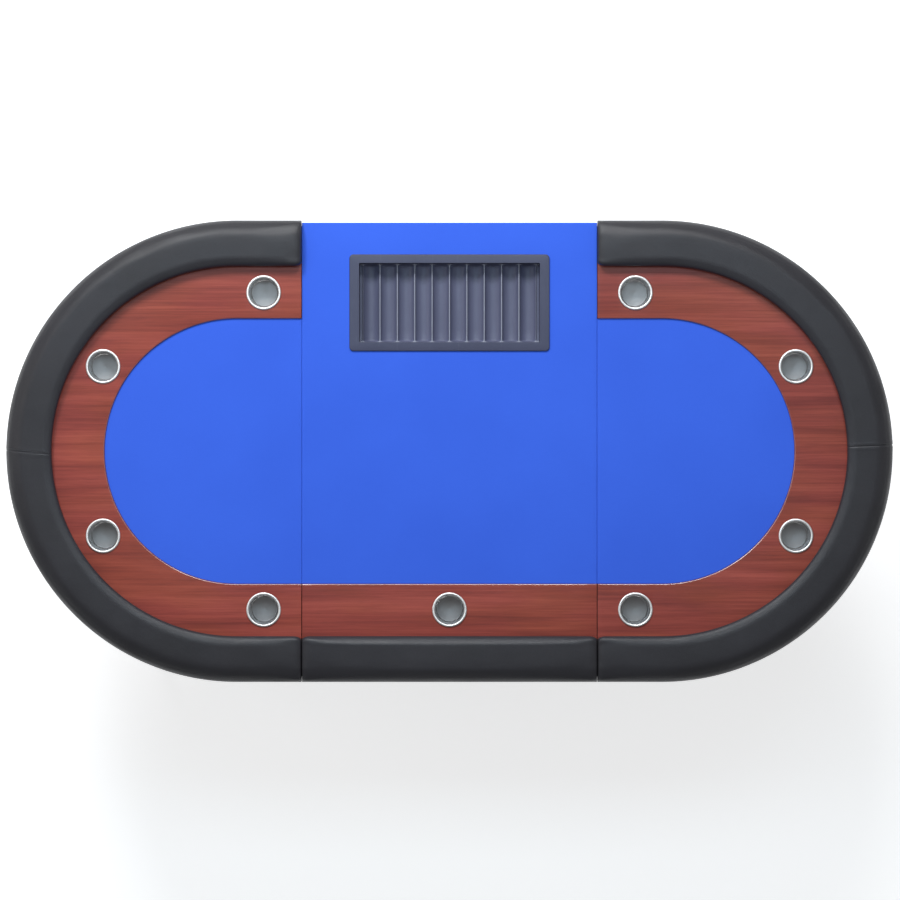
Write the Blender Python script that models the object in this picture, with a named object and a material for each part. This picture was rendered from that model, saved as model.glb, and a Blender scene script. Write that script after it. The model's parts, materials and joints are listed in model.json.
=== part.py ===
"""Oval three-panel card table with a dealer's place, on folding steel legs.

Run it with: blender --background --python part.py

Metres, +Z up. The origin is on the floor under the middle of the table. +X runs along the table,
and the dealer sits on the +Y side. The table is shown open. Each wing folds down and under the
centre about its seam hinges: the left wing lies against the centre and the right wing, on deeper
hinges, lies under the left one.
"""

import math

import bmesh
import bpy
from mathutils import Matrix, Vector

# Overall sizes
TABLE_LENGTH = 2.080
TABLE_WIDTH = 1.083
PLAY_HEIGHT = 0.760  # floor to the top of the cloth
SEAM_GAP = 0.0015  # between neighbouring panels
FIT_GAP = 0.0003  # between pieces that rest on each other

# Layers of a panel
BOARD_THICKNESS = 0.012
CLOTH_THICKNESS = 0.004
TRACK_THICKNESS = 0.009
TRACK_WIDTH = 0.122  # the part of the racetrack that shows
TRACK_CHAMFER = 0.0025
DEALER_INSET = 0.0045  # the dealer's edge stands back this far from the rails

# Padded armrest
RAIL_WIDTH = 0.1085
RAIL_RISE = 0.030  # above the racetrack
RAIL_OVERLAP = 0.008  # over the racetrack's outer edge
RAIL_WRAP = 0.012  # padding outside the board's edge
RAIL_SQUARENESS = 2.6  # exponent of the section's superellipse

# Cup holders
CUP_MOUTH_R = 0.0355
CUP_FLANGE_WIDTH = 0.0055
CUP_TAPER = 0.0035  # mouth radius less floor radius
CUP_CORNER_R = 0.004
CUP_DEPTH = 0.055  # below the racetrack's top
CUP_WALL = 0.0012
CUP_FLANGE_RISE = 0.0030
CUP_CLEARANCE = 0.0008
CUP_SEAM_DISTANCE = 0.0895  # from the fold to the nearest cups
CUP_END_ANGLE = math.radians(32.3)  # round the end, from the X axis

# Chip tray
CHIP_ROWS = 10
TROUGH_R = 0.0205
RIDGE_WIDTH = 0.0020
RIDGE_HEIGHT = 0.014  # above the bottom of a trough
RIDGE_DROP = 0.028  # below the top of the rim
ROW_LENGTH = 0.183
TRAY_SIDE_MARGIN = 0.006  # from the outer ridges to the tray's side walls
TRAY_RIM_SIDE = 0.0245
TRAY_RIM_END = 0.022
TRAY_RIM_THICKNESS = 0.004
TRAY_RIM_CORNER_R = 0.008
TRAY_WALL = 0.004
TRAY_FLOOR = 0.0025
TRAY_CLEARANCE = 0.001
TRAY_EDGE_DISTANCE = 0.075  # from the dealer's edge to the tray's rim

# Seam hinges
HINGE_Y = 0.360
HINGE_WIDTH = 0.110
HINGE_FLANGE = 0.040
HINGE_PLATE = 0.0025
HINGE_KNUCKLES = 3
KNUCKLE_R = 0.006
KNUCKLE_GAP = 0.0006
PIN_R = 0.003
PIN_HEAD_R = 0.0048
PIN_HEAD = 0.0020
LEFT_DROP = 0.035  # underside of the board to the hinge's axis
STACK_GAP = 0.045  # between the folded left wing and the folded right wing

# Legs
LEG_R = 0.014
LEG_WALL = 0.0015
LEG_TOP_END = 0.006  # tube above its pivot
REAR_LEG_REACH = 0.3535  # from the fold to the rear leg
LEG_SPACING = 0.060  # from the rear leg to the front leg, which fold side by side
LEG_EDGE_INSET = 0.040  # leg pivots inside the board's edge
LEG_HEADROOM = 0.005  # between the board and the folded leg
BOLT_R = 0.004
BOLT_HEAD_R = 0.0070
BOLT_HEAD = 0.0030
FOOT_WALL = 0.0017
FOOT_HEIGHT = 0.035
FOOT_SOLE = 0.006
FOOT_ROUND = 0.002

# Leg brackets and braces
BRACKET_PLATE = 0.0025
BRACKET_BASE = 0.0020
BRACKET_FOOT = 0.014  # width of the bracket's screwed flange
BRACKET_BEHIND = 0.014  # bracket beyond the pivot, away from the fold
BRACKET_AHEAD = 0.030
BRACKET_BELOW = 0.010  # short cheek below the pivot
GUIDE_BELOW = 0.0235  # long, slotted cheek below the pivot
GUIDE_END = 0.010  # long cheek beyond the slot
SIDE_GAP = 0.001  # between plates and tubes that slide past each other
BRACE_DOWN = 0.090  # leg pivot to brace pivot
BRACE_WIDTH = 0.016
BRACE_THICKNESS = 0.003
STUD_R = 0.003
STUD_REACH = 0.0035  # stud inside the tube's outer face
RIDER_R = 0.003  # the brace's pin in the slot
RIDER_HEAD_R = 0.0055
RIDER_HEAD = 0.0015
SLOT_HEIGHT = 0.008

# Facets
ARC_STEPS = 28
RAIL_STEPS = 8
CUP_STEPS = 20
TUBE_STEPS = 16
SMALL_STEPS = 12
TROUGH_STEPS = 4
SLOT_STEPS = 8

# Worked out from the sizes above
SEAM_X = TABLE_LENGTH / 6  # three panels of one length, so that they stack
OUTER_R = TABLE_WIDTH / 2
ARC_X = TABLE_LENGTH / 2 - OUTER_R
RAIL_IN_R = OUTER_R - RAIL_WIDTH
TRACK_IN_R = RAIL_IN_R - TRACK_WIDTH
TRACK_OUT_R = RAIL_IN_R + RAIL_OVERLAP
BOARD_R = OUTER_R - RAIL_WRAP
DEALER_Y = OUTER_R - DEALER_INSET
BOARD_TOP = PLAY_HEIGHT - CLOTH_THICKNESS
UNDERSIDE = BOARD_TOP - BOARD_THICKNESS
TRACK_TOP = BOARD_TOP + TRACK_THICKNESS
RAIL_TOP = TRACK_TOP + RAIL_RISE
WING_SEAM = SEAM_X + SEAM_GAP / 2
CENTRE_SEAM = SEAM_X - SEAM_GAP / 2
CUP_TRACK_R = (RAIL_IN_R + TRACK_IN_R) / 2
CUP_HOLE_R = CUP_MOUTH_R + CUP_CLEARANCE
CUP_FLANGE_R = CUP_MOUTH_R + CUP_FLANGE_WIDTH
CUP_FLOOR_R = CUP_MOUTH_R - CUP_TAPER
RIGHT_DROP = LEFT_DROP + (RAIL_TOP - UNDERSIDE + STACK_GAP) / 2
TRAY_TOP = PLAY_HEIGHT + FIT_GAP + TRAY_RIM_THICKNESS
TROUGH_BOTTOM = TRAY_TOP - RIDGE_DROP - RIDGE_HEIGHT
TROUGH_HALF = math.sqrt(TROUGH_R**2 - (TROUGH_R - RIDGE_HEIGHT) ** 2)  # at the top of its ridges
CHIP_PITCH = 2 * TROUGH_HALF + RIDGE_WIDTH
TRAY_INNER_X = CHIP_ROWS * CHIP_PITCH / 2 + TRAY_SIDE_MARGIN
TRAY_INNER_Y = ROW_LENGTH / 2
TRAY_Y = DEALER_Y - TRAY_EDGE_DISTANCE - TRAY_RIM_END - TRAY_INNER_Y
REAR_LEG_X = SEAM_X + REAR_LEG_REACH
FRONT_LEG_X = REAR_LEG_X + LEG_SPACING
LEG_PIVOT_Y = math.sqrt(BOARD_R**2 - (FRONT_LEG_X - ARC_X) ** 2) - LEG_EDGE_INSET
PIVOT_Z = UNDERSIDE - LEG_R - LEG_HEADROOM
FOOT_R = LEG_R + FIT_GAP + FOOT_WALL
BRACKET_TOP = UNDERSIDE - FIT_GAP
BRACE_IN = LEG_R + SIDE_GAP
BRACE_OUT = BRACE_IN + BRACE_THICKNESS
SLOT_CHEEK = BRACE_OUT + SIDE_GAP
BRACE_LENGTH = BRACE_DOWN * math.sqrt(2)  # open, the brace stands at 45 degrees


def clear_scene():
    for old in list(bpy.data.objects):
        bpy.data.objects.remove(old)


def make_material(name, colour, roughness, metallic=0.0):
    made = bpy.data.materials.new(name)
    made.use_nodes = True
    shader = made.node_tree.nodes["Principled BSDF"]
    shader.inputs["Base Color"].default_value = (*colour, 1.0)
    shader.inputs["Roughness"].default_value = roughness
    shader.inputs["Metallic"].default_value = metallic
    return made


# ---- shapes, each returned as a bmesh in the table's own frame ----


def prism(outline, low, high):
    """The outline, a list of (x, y), pulled up from low to high."""
    shape = bmesh.new()
    bottom = shape.faces.new([shape.verts.new((x, y, low)) for x, y in outline])
    pulled = bmesh.ops.extrude_face_region(shape, geom=[bottom])
    top = [v for v in pulled["geom"] if isinstance(v, bmesh.types.BMVert)]
    bmesh.ops.translate(shape, verts=top, vec=(0, 0, high - low))
    return shape


def box(corner, opposite):
    """A block between any two opposite corners."""
    low = [min(a, b) for a, b in zip(corner, opposite)]
    high = [max(a, b) for a, b in zip(corner, opposite)]
    shape = bmesh.new()
    bmesh.ops.create_cube(shape, size=1.0)
    for vert in shape.verts:
        vert.co = [high[k] if vert.co[k] > 0 else low[k] for k in range(3)]
    return shape


def cylinder(radius, start, end, steps=CUP_STEPS):
    """A round bar from start to end."""
    start, end = Vector(start), Vector(end)
    shape = bmesh.new()
    bmesh.ops.create_cone(
        shape, cap_ends=True, segments=steps, radius1=radius, radius2=radius,
        depth=(end - start).length,
    )
    turn = (end - start).to_track_quat("Z", "Y").to_matrix().to_4x4()
    shape.transform(Matrix.Translation((start + end) / 2) @ turn)
    return shape


def lathe(profile, steps):
    """The profile, a list of (radius, z), turned about Z. It ends on the axis, or closes on itself."""
    shape = bmesh.new()
    on_axis = profile[0][0] == 0
    rings = []
    for radius, z in profile:
        count = 1 if radius == 0 else steps
        turns = [2 * math.pi * k / steps for k in range(count)]
        rings.append([shape.verts.new((radius * math.cos(a), radius * math.sin(a), z)) for a in turns])
    pairs = list(zip(rings, rings[1:]))
    if not on_axis:
        pairs.append((rings[-1], rings[0]))
    for first, second in pairs:
        for k in range(steps):
            corners = [first[k % len(first)], first[(k + 1) % len(first)]]
            corners += [second[(k + 1) % len(second)], second[k % len(second)]]
            shape.faces.new(list(dict.fromkeys(corners)))
    return shape


def sweep(section, stations):
    """The section, a list of (distance, z), set out from each station's base along its direction."""
    shape = bmesh.new()
    rings = []
    for (base_x, base_y), (out_x, out_y) in stations:
        points = [(base_x + r * out_x, base_y + r * out_y, z) for r, z in section]
        rings.append([shape.verts.new(p) for p in points])
    for first, second in zip(rings, rings[1:]):
        for k in range(len(section)):
            after = (k + 1) % len(section)
            shape.faces.new((first[k], first[after], second[after], second[k]))
    shape.faces.new(rings[0])
    shape.faces.new(rings[-1])
    return shape


def moved(shape, offset):
    shape.transform(Matrix.Translation(offset))
    return shape


# ---- objects ----


def new_object(name, shape):
    bmesh.ops.recalc_face_normals(shape, faces=shape.faces)
    if shape.calc_volume(signed=True) < 0:
        bmesh.ops.reverse_faces(shape, faces=shape.faces)
    mesh = bpy.data.meshes.new(name)
    shape.to_mesh(mesh)
    shape.free()
    made = bpy.data.objects.new(name, mesh)
    bpy.context.scene.collection.objects.link(made)
    return made


def combine(body, shape, operation):
    """The body joined with the shape (UNION) or cut by it (DIFFERENCE), as a plain mesh."""
    tool = new_object("tool", shape)
    modifier = body.modifiers.new(operation, "BOOLEAN")
    modifier.operation = operation
    modifier.solver = "EXACT"
    modifier.object = tool
    graph = bpy.context.evaluated_depsgraph_get()
    result = bpy.data.meshes.new_from_object(body.evaluated_get(graph))
    body.modifiers.clear()
    body.data = result
    bpy.data.objects.remove(tool)


def make_node(name, shape, material, frame, joins=(), cuts=()):
    """One piece of the table: its shape, joined and cut, hung on the empty of the body it moves with."""
    body = new_object(name, shape)
    for extra in joins:
        combine(body, extra, "UNION")
    for hole in cuts:
        combine(body, hole, "DIFFERENCE")
    body.data.name = name
    body.data.materials.clear()
    body.data.materials.append(material)
    body.data.transform(Matrix.Translation(-frame.matrix_world.translation))
    body.data.shade_smooth()
    body.data.set_sharp_from_angle(angle=math.radians(35))
    body.parent = frame
    return body


def make_frame(name, place, parent=None):
    """An empty on a joint's axis, which the pieces of that body hang from."""
    frame = bpy.data.objects.new(name, None)
    bpy.context.scene.collection.objects.link(frame)
    frame.parent = parent
    frame.location = Vector(place) - (parent.matrix_world.translation if parent else Vector())
    bpy.context.view_layer.update()
    return frame


# ---- outlines and sections shared by the panels ----


def wing_stations(side):
    """From the players' end of the fold, round the wing's end, to the dealer's end of the fold."""
    stations = [((side * WING_SEAM, 0), (0, -1))]
    for step in range(ARC_STEPS + 1):
        angle = math.pi * step / ARC_STEPS
        stations.append(((side * ARC_X, 0), (side * math.sin(angle), -math.cos(angle))))
    stations.append(((side * WING_SEAM, 0), (0, 1)))
    return stations


def centre_stations(direction):
    return [((-CENTRE_SEAM, 0), (0, direction)), ((CENTRE_SEAM, 0), (0, direction))]


def wing_outline(side, radius):
    return [(x + radius * out_x, y + radius * out_y) for (x, y), (out_x, out_y) in wing_stations(side)]


def track_section():
    bottom = BOARD_TOP + FIT_GAP
    return [
        (TRACK_IN_R, bottom),
        (TRACK_OUT_R, bottom),
        (TRACK_OUT_R, TRACK_TOP),
        (TRACK_IN_R + TRACK_CHAMFER, TRACK_TOP),
        (TRACK_IN_R, TRACK_TOP - TRACK_CHAMFER),
    ]


def core_section():
    inner = TRACK_OUT_R + FIT_GAP
    bottom = BOARD_TOP + FIT_GAP
    return [(inner, bottom), (BOARD_R, bottom), (BOARD_R, TRACK_TOP), (inner, TRACK_TOP)]


def armrest_section():
    """A domed top on a flat bottom, with a skirt over the edge of the board."""
    base = TRACK_TOP + FIT_GAP
    middle = (OUTER_R + RAIL_IN_R) / 2
    skirt = BOARD_R + FIT_GAP
    points = [(skirt, base), (skirt, UNDERSIDE), (OUTER_R, UNDERSIDE)]
    for step in range(RAIL_STEPS + 1):
        angle = math.pi * step / RAIL_STEPS
        along = math.copysign(abs(math.cos(angle)) ** (2 / RAIL_SQUARENESS), math.cos(angle))
        up = math.sin(angle) ** (2 / RAIL_SQUARENESS) if 0 < step < RAIL_STEPS else 0.0
        points.append((middle + along * RAIL_WIDTH / 2, base + up * RAIL_RISE))
    return points


# ---- cup holders ----


def cup_places():
    """Name, body and (x, y) of each cup holder."""
    end_x = ARC_X + CUP_TRACK_R * math.cos(CUP_END_ANGLE)
    end_y = CUP_TRACK_R * math.sin(CUP_END_ANGLE)
    places = [("cup_centre", "centre", (0.0, -CUP_TRACK_R))]
    for wing, side in (("left", -1), ("right", 1)):
        for row, toward in (("front", -1), ("rear", 1)):
            seam_place = (side * (SEAM_X + CUP_SEAM_DISTANCE), toward * CUP_TRACK_R)
            end_place = (side * end_x, toward * end_y)
            places.append((f"cup_{wing}_{row}", f"{wing}_wing", seam_place))
            places.append((f"cup_{wing}_{row}_end", f"{wing}_wing", end_place))
    return places


def cup_holes(body):
    """Cutters through the board and the racetrack at each cup holder of this body."""
    low, high = UNDERSIDE - CUP_DEPTH, TRACK_TOP + CUP_DEPTH
    found = [place for _, owner, place in cup_places() if owner == body]
    return [cylinder(CUP_HOLE_R, (x, y, low), (x, y, high)) for x, y in found]


def cup_profile():
    """A drawn cup with a rolled flange, as (radius, z) round its wall, outside first."""
    seat = TRACK_TOP + FIT_GAP
    floor = TRACK_TOP - CUP_DEPTH
    crown = (CUP_FLANGE_R + CUP_MOUTH_R) / 2
    return [
        (0, floor),
        (CUP_FLOOR_R - CUP_CORNER_R, floor),
        (CUP_FLOOR_R, floor + CUP_CORNER_R),
        (CUP_MOUTH_R, seat),
        (CUP_FLANGE_R, seat),
        (CUP_FLANGE_R, seat + CUP_FLANGE_RISE / 2),
        (crown, seat + CUP_FLANGE_RISE),
        (CUP_MOUTH_R - CUP_WALL, seat + CUP_FLANGE_RISE / 2),
        (CUP_FLOOR_R - CUP_WALL, floor + CUP_CORNER_R + CUP_WALL),
        (CUP_FLOOR_R - CUP_CORNER_R - CUP_WALL / 2, floor + CUP_WALL),
        (0, floor + CUP_WALL),
    ]


def build_cups(frames, steel):
    for name, owner, (x, y) in cup_places():
        make_node(name, moved(lathe(cup_profile(), CUP_STEPS), (x, y, 0)), steel, frames[owner])


# ---- panels ----


def tray_hole():
    """The cutter for the chip tray's well, through the cloth and the board."""
    half_x = TRAY_INNER_X + TRAY_WALL + TRAY_CLEARANCE
    half_y = TRAY_INNER_Y + TRAY_WALL + TRAY_CLEARANCE
    low = (-half_x, TRAY_Y - half_y, UNDERSIDE - TRAY_FLOOR)
    return box(low, (half_x, TRAY_Y + half_y, TRAY_TOP))


def build_ring_pieces(name, stations, frame, looks, cuts):
    """The racetrack, the rail's wooden core and the padded armrest of one panel."""
    make_node(f"{name}_racetrack", sweep(track_section(), stations), looks["veneer"], frame, cuts=cuts)
    make_node(f"{name}_rail_core", sweep(core_section(), stations), looks["board"], frame)
    make_node(f"{name}_armrest", sweep(armrest_section(), stations), looks["leather"], frame)


def build_wing(name, side, frame, looks):
    body = f"{name}_wing"
    board = prism(wing_outline(side, BOARD_R), UNDERSIDE, BOARD_TOP)
    cloth = prism(wing_outline(side, TRACK_IN_R - FIT_GAP), BOARD_TOP + FIT_GAP, PLAY_HEIGHT)
    make_node(f"{name}_board", board, looks["board"], frame, cuts=cup_holes(body))
    make_node(f"{name}_cloth", cloth, looks["cloth"], frame)
    build_ring_pieces(name, wing_stations(side), frame, looks, cup_holes(body))


def build_centre(frame, looks):
    board_edge = DEALER_Y - CLOTH_THICKNESS - FIT_GAP
    board = box((-CENTRE_SEAM, -BOARD_R, UNDERSIDE), (CENTRE_SEAM, board_edge, BOARD_TOP))
    make_node("centre_board", board, looks["board"], frame, cuts=[*cup_holes("centre"), tray_hole()])
    bottom = BOARD_TOP + FIT_GAP
    cloth_section = [
        (FIT_GAP - TRACK_IN_R, bottom),
        (DEALER_Y - CLOTH_THICKNESS, bottom),
        (DEALER_Y - CLOTH_THICKNESS, UNDERSIDE),
        (DEALER_Y, UNDERSIDE),
        (DEALER_Y, PLAY_HEIGHT),
        (FIT_GAP - TRACK_IN_R, PLAY_HEIGHT),
    ]
    cloth = sweep(cloth_section, centre_stations(1))
    make_node("centre_cloth", cloth, looks["cloth"], frame, cuts=[tray_hole()])
    build_ring_pieces("centre", centre_stations(-1), frame, looks, cup_holes("centre"))


# ---- chip tray ----


def rounded_rectangle(half_x, half_y, radius, centre_y, steps=4):
    points = []
    for quarter, (sx, sy) in enumerate(((1, 1), (-1, 1), (-1, -1), (1, -1))):
        for step in range(steps + 1):
            angle = (quarter + step / steps) * math.pi / 2
            x = sx * (half_x - radius) + radius * math.cos(angle)
            y = centre_y + sy * (half_y - radius) + radius * math.sin(angle)
            points.append((x, y))
    return points


def tray_cavity():
    """The space over the chips: a straight-sided mouth with one round-bottomed trough for each row."""
    lip = TROUGH_BOTTOM + RIDGE_HEIGHT
    above = TRAY_TOP + TRAY_RIM_THICKNESS
    reach = math.acos((TROUGH_R - RIDGE_HEIGHT) / TROUGH_R)
    profile = [(TRAY_INNER_X, above), (-TRAY_INNER_X, above), (-TRAY_INNER_X, lip)]
    for row in range(CHIP_ROWS):
        middle = (row - (CHIP_ROWS - 1) / 2) * CHIP_PITCH
        for step in range(TROUGH_STEPS + 1):
            angle = reach * (2 * step / TROUGH_STEPS - 1)
            x = middle + TROUGH_R * math.sin(angle)
            profile.append((x, TROUGH_BOTTOM + TROUGH_R * (1 - math.cos(angle))))
    profile.append((TRAY_INNER_X, lip))
    shape = bmesh.new()
    near, far = TRAY_Y - TRAY_INNER_Y, TRAY_Y + TRAY_INNER_Y
    face = shape.faces.new([shape.verts.new((x, near, z)) for x, z in profile])
    pulled = bmesh.ops.extrude_face_region(shape, geom=[face])
    back = [v for v in pulled["geom"] if isinstance(v, bmesh.types.BMVert)]
    bmesh.ops.translate(shape, verts=back, vec=(0, far - near, 0))
    return shape


def build_chip_tray(frame, plastic):
    pan_x, pan_y = TRAY_INNER_X + TRAY_WALL, TRAY_INNER_Y + TRAY_WALL
    rim_x, rim_y = TRAY_INNER_X + TRAY_RIM_SIDE, TRAY_INNER_Y + TRAY_RIM_END
    rim_low = PLAY_HEIGHT + FIT_GAP
    rim = prism(rounded_rectangle(rim_x, rim_y, TRAY_RIM_CORNER_R, TRAY_Y), rim_low, TRAY_TOP)
    pan_low = (-pan_x, TRAY_Y - pan_y, TROUGH_BOTTOM - TRAY_FLOOR)
    pan = box(pan_low, (pan_x, TRAY_Y + pan_y, rim_low + TRAY_RIM_THICKNESS / 2))
    make_node("chip_tray", rim, plastic, frame, joins=[pan], cuts=[tray_cavity()])


# ---- seam hinges ----


def knuckle_spans(owner, middle):
    """The (low, high) of each knuckle along Y that belongs to leaf 0, the centre's, or leaf 1, the wing's."""
    pitch = HINGE_WIDTH / HINGE_KNUCKLES
    start = middle - HINGE_WIDTH / 2
    return [
        (start + k * pitch + KNUCKLE_GAP / 2, start + (k + 1) * pitch - KNUCKLE_GAP / 2)
        for k in range(HINGE_KNUCKLES)
        if k % 2 == owner
    ]


def hinge_leaf(side, owner, middle, drop):
    """Shapes to join and to cut for one leaf: a flange under the board, a web down to the axis, and knuckles."""
    outward = 1 if owner else -1
    axis_z = UNDERSIDE - drop
    web_bottom = axis_z + KNUCKLE_R + SIDE_GAP
    near, far = middle - HINGE_WIDTH / 2, middle + HINGE_WIDTH / 2

    def across(distance):
        return side * (SEAM_X + outward * distance)

    inner, web = across(SEAM_GAP / 2), across(SEAM_GAP / 2 + HINGE_PLATE)
    flange = across(SEAM_GAP / 2 + HINGE_FLANGE)
    top = UNDERSIDE - FIT_GAP
    body = box((inner, near, top - HINGE_PLATE), (flange, far, top))
    joins = [box((inner, near, web_bottom), (web, far, top))]
    for low, high in knuckle_spans(owner, middle):
        joins.append(box((inner, low, axis_z), (web, high, web_bottom + HINGE_PLATE)))
        joins.append(cylinder(KNUCKLE_R, (side * SEAM_X, low, axis_z), (side * SEAM_X, high, axis_z), SMALL_STEPS))
    bore = (side * SEAM_X, near - HINGE_PLATE, axis_z), (side * SEAM_X, far + HINGE_PLATE, axis_z)
    return body, joins, [cylinder(PIN_R + FIT_GAP, *bore, SMALL_STEPS)]


def hinge_pin(side, middle, drop):
    """A pin with a head at each end."""
    x, z = side * SEAM_X, UNDERSIDE - drop
    near, far = middle - HINGE_WIDTH / 2, middle + HINGE_WIDTH / 2
    shaft = cylinder(PIN_R, (x, near - PIN_HEAD, z), (x, far + PIN_HEAD, z), SMALL_STEPS)
    heads = [
        cylinder(PIN_HEAD_R, (x, near - PIN_HEAD, z), (x, near - FIT_GAP, z), SMALL_STEPS),
        cylinder(PIN_HEAD_R, (x, far + FIT_GAP, z), (x, far + PIN_HEAD, z), SMALL_STEPS),
    ]
    return shaft, heads


def build_hinges(frames, looks):
    for wing, side, drop in (("left", -1, LEFT_DROP), ("right", 1, RIGHT_DROP)):
        for row, toward in (("front", -1), ("rear", 1)):
            name, middle = f"{wing}_{row}_hinge", toward * HINGE_Y
            for owner, leaf, frame in ((0, "centre", frames["centre"]), (1, "wing", frames[f"{wing}_wing"])):
                body, joins, cuts = hinge_leaf(side, owner, middle, drop)
                make_node(f"{name}_{leaf}_leaf", body, looks["steel"], frame, joins, cuts)
            shaft, heads = hinge_pin(side, middle, drop)
            make_node(f"{name}_pin", shaft, looks["zinc"], frames["centre"], heads)


# ---- legs ----


class LegPlace:
    """Where a leg stands. point(u, v, w) is u towards the seam, v inwards and w up from the leg's pivot."""

    def __init__(self, side, toward):
        self.side = side
        self.toward = toward
        self.x = side * (REAR_LEG_X if toward > 0 else FRONT_LEG_X)
        self.y = toward * LEG_PIVOT_Y

    def point(self, u, v, w):
        return (self.x - self.side * u, self.y - self.toward * v, PIVOT_Z + w)

    def block(self, low, high):
        return box(self.point(*low), self.point(*high))

    def plate(self, outline, u_low, u_high):
        """The outline, a list of (v, w), pulled along X from u_low to u_high."""
        shape = bmesh.new()
        near = shape.faces.new([shape.verts.new(self.point(u_low, v, w)) for v, w in outline])
        pulled = bmesh.ops.extrude_face_region(shape, geom=[near])
        far = [v for v in pulled["geom"] if isinstance(v, bmesh.types.BMVert)]
        bmesh.ops.translate(shape, verts=far, vec=(-self.side * (u_high - u_low), 0, 0))
        return shape

    def bar(self, radius, u_low, u_high, v=0.0, w=0.0):
        """A round bar along X."""
        return cylinder(radius, self.point(u_low, v, w), self.point(u_high, v, w), SMALL_STEPS)


def build_leg_tube(name, place, frame, looks):
    bottom, top = FOOT_SOLE + FIT_GAP, PIVOT_Z + LEG_TOP_END
    inner = LEG_R - LEG_WALL
    profile = [(inner, bottom), (LEG_R, bottom), (LEG_R, top), (inner, top)]
    tube = moved(lathe(profile, TUBE_STEPS), (place.x, place.y, 0))
    bolt_hole = place.bar(BOLT_R + FIT_GAP, -2 * LEG_R, 2 * LEG_R)
    stud_hole = place.bar(STUD_R + FIT_GAP, 0, 2 * LEG_R, w=-BRACE_DOWN)
    make_node(f"{name}_leg_tube", tube, looks["steel"], frame, cuts=[bolt_hole, stud_hole])


def build_foot(name, place, frame, looks):
    bore = LEG_R + FIT_GAP
    profile = [
        (0, 0),
        (FOOT_R - FOOT_ROUND, 0),
        (FOOT_R, FOOT_ROUND),
        (FOOT_R, FOOT_HEIGHT),
        (bore, FOOT_HEIGHT),
        (bore, FOOT_SOLE),
        (0, FOOT_SOLE),
    ]
    make_node(f"{name}_foot", moved(lathe(profile, TUBE_STEPS), (place.x, place.y, 0)), looks["rubber"], frame)


def rider_path():
    """Where the brace's upper end runs, as (v, w), while the leg turns from open to folded.

    The brace turns back by half of the leg's turn, so the slot that holds it dips in the middle.
    """
    path = []
    for step in range(SLOT_STEPS + 1):
        leg = math.pi / 2 * step / SLOT_STEPS
        brace = math.pi / 4 - leg / 2
        v = BRACE_DOWN * math.sin(leg) + BRACE_LENGTH * math.cos(brace)
        w = BRACE_LENGTH * math.sin(brace) - BRACE_DOWN * math.cos(leg)
        path.append(Vector((v, w)))
    return path


def slot_outline():
    """The outline of the slot round that path, with a square end beyond each end of it."""
    half = SLOT_HEIGHT / 2
    path = rider_path()
    path.insert(0, path[0] + (path[0] - path[1]).normalized() * half)
    path.append(path[-1] + (path[-1] - path[-2]).normalized() * half)
    upper, lower = [], []
    for k, point in enumerate(path):
        along = (path[min(k + 1, len(path) - 1)] - path[max(k - 1, 0)]).normalized()
        normal = Vector((-along.y, along.x)) * half
        upper.append(point + normal)
        lower.append(point - normal)
    return [*upper, *reversed(lower)]


def build_bracket(name, place, frame, looks):
    """A short cheek on one side of the leg and a long cheek, with the brace's slot, on the other."""
    top = BRACKET_TOP - PIVOT_Z
    base = top - BRACKET_BASE
    short = -(LEG_R + SIDE_GAP)
    long_end = BRACE_DOWN + BRACE_LENGTH + SLOT_HEIGHT / 2 + GUIDE_END
    guide_outer = SLOT_CHEEK + BRACKET_PLATE
    flange = guide_outer + BRACKET_FOOT
    body = place.block((short - BRACKET_PLATE, -BRACKET_BEHIND, base), (flange, BRACKET_AHEAD, top))
    joins = [
        place.block((short - BRACKET_PLATE, -BRACKET_BEHIND, -BRACKET_BELOW), (short, BRACKET_AHEAD, top)),
        place.block((SLOT_CHEEK, -BRACKET_BEHIND, -GUIDE_BELOW), (guide_outer, long_end, top)),
        place.block((SLOT_CHEEK, 0, base), (flange, long_end, top)),
    ]
    cuts = [
        place.bar(BOLT_R + FIT_GAP, short - 2 * BRACKET_PLATE, guide_outer + BRACKET_PLATE),
        place.plate(slot_outline(), SLOT_CHEEK - BRACKET_PLATE, guide_outer + BRACKET_PLATE),
    ]
    make_node(f"{name}_leg_bracket", body, looks["steel"], frame, joins, cuts)


def build_pivot_bolt(name, place, frame, looks):
    left = -(LEG_R + SIDE_GAP + BRACKET_PLATE + FIT_GAP)
    right = SLOT_CHEEK + BRACKET_PLATE + FIT_GAP
    shaft = place.bar(BOLT_R, left - BOLT_HEAD, right + BOLT_HEAD)
    heads = [place.bar(BOLT_HEAD_R, left - BOLT_HEAD, left), place.bar(BOLT_HEAD_R, right, right + BOLT_HEAD)]
    make_node(f"{name}_pivot_bolt", shaft, looks["zinc"], frame, heads)


def bar_outline(start, end, half):
    """The outline of a flat bar with round ends."""
    along = math.atan2(end[1] - start[1], end[0] - start[0])
    points = []
    for (v, w), turn in ((end, -math.pi / 2), (start, math.pi / 2)):
        for step in range(SMALL_STEPS // 2 + 1):
            angle = along + turn + math.pi * step / (SMALL_STEPS // 2)
            points.append((v + half * math.cos(angle), w + half * math.sin(angle)))
    return points


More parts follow.
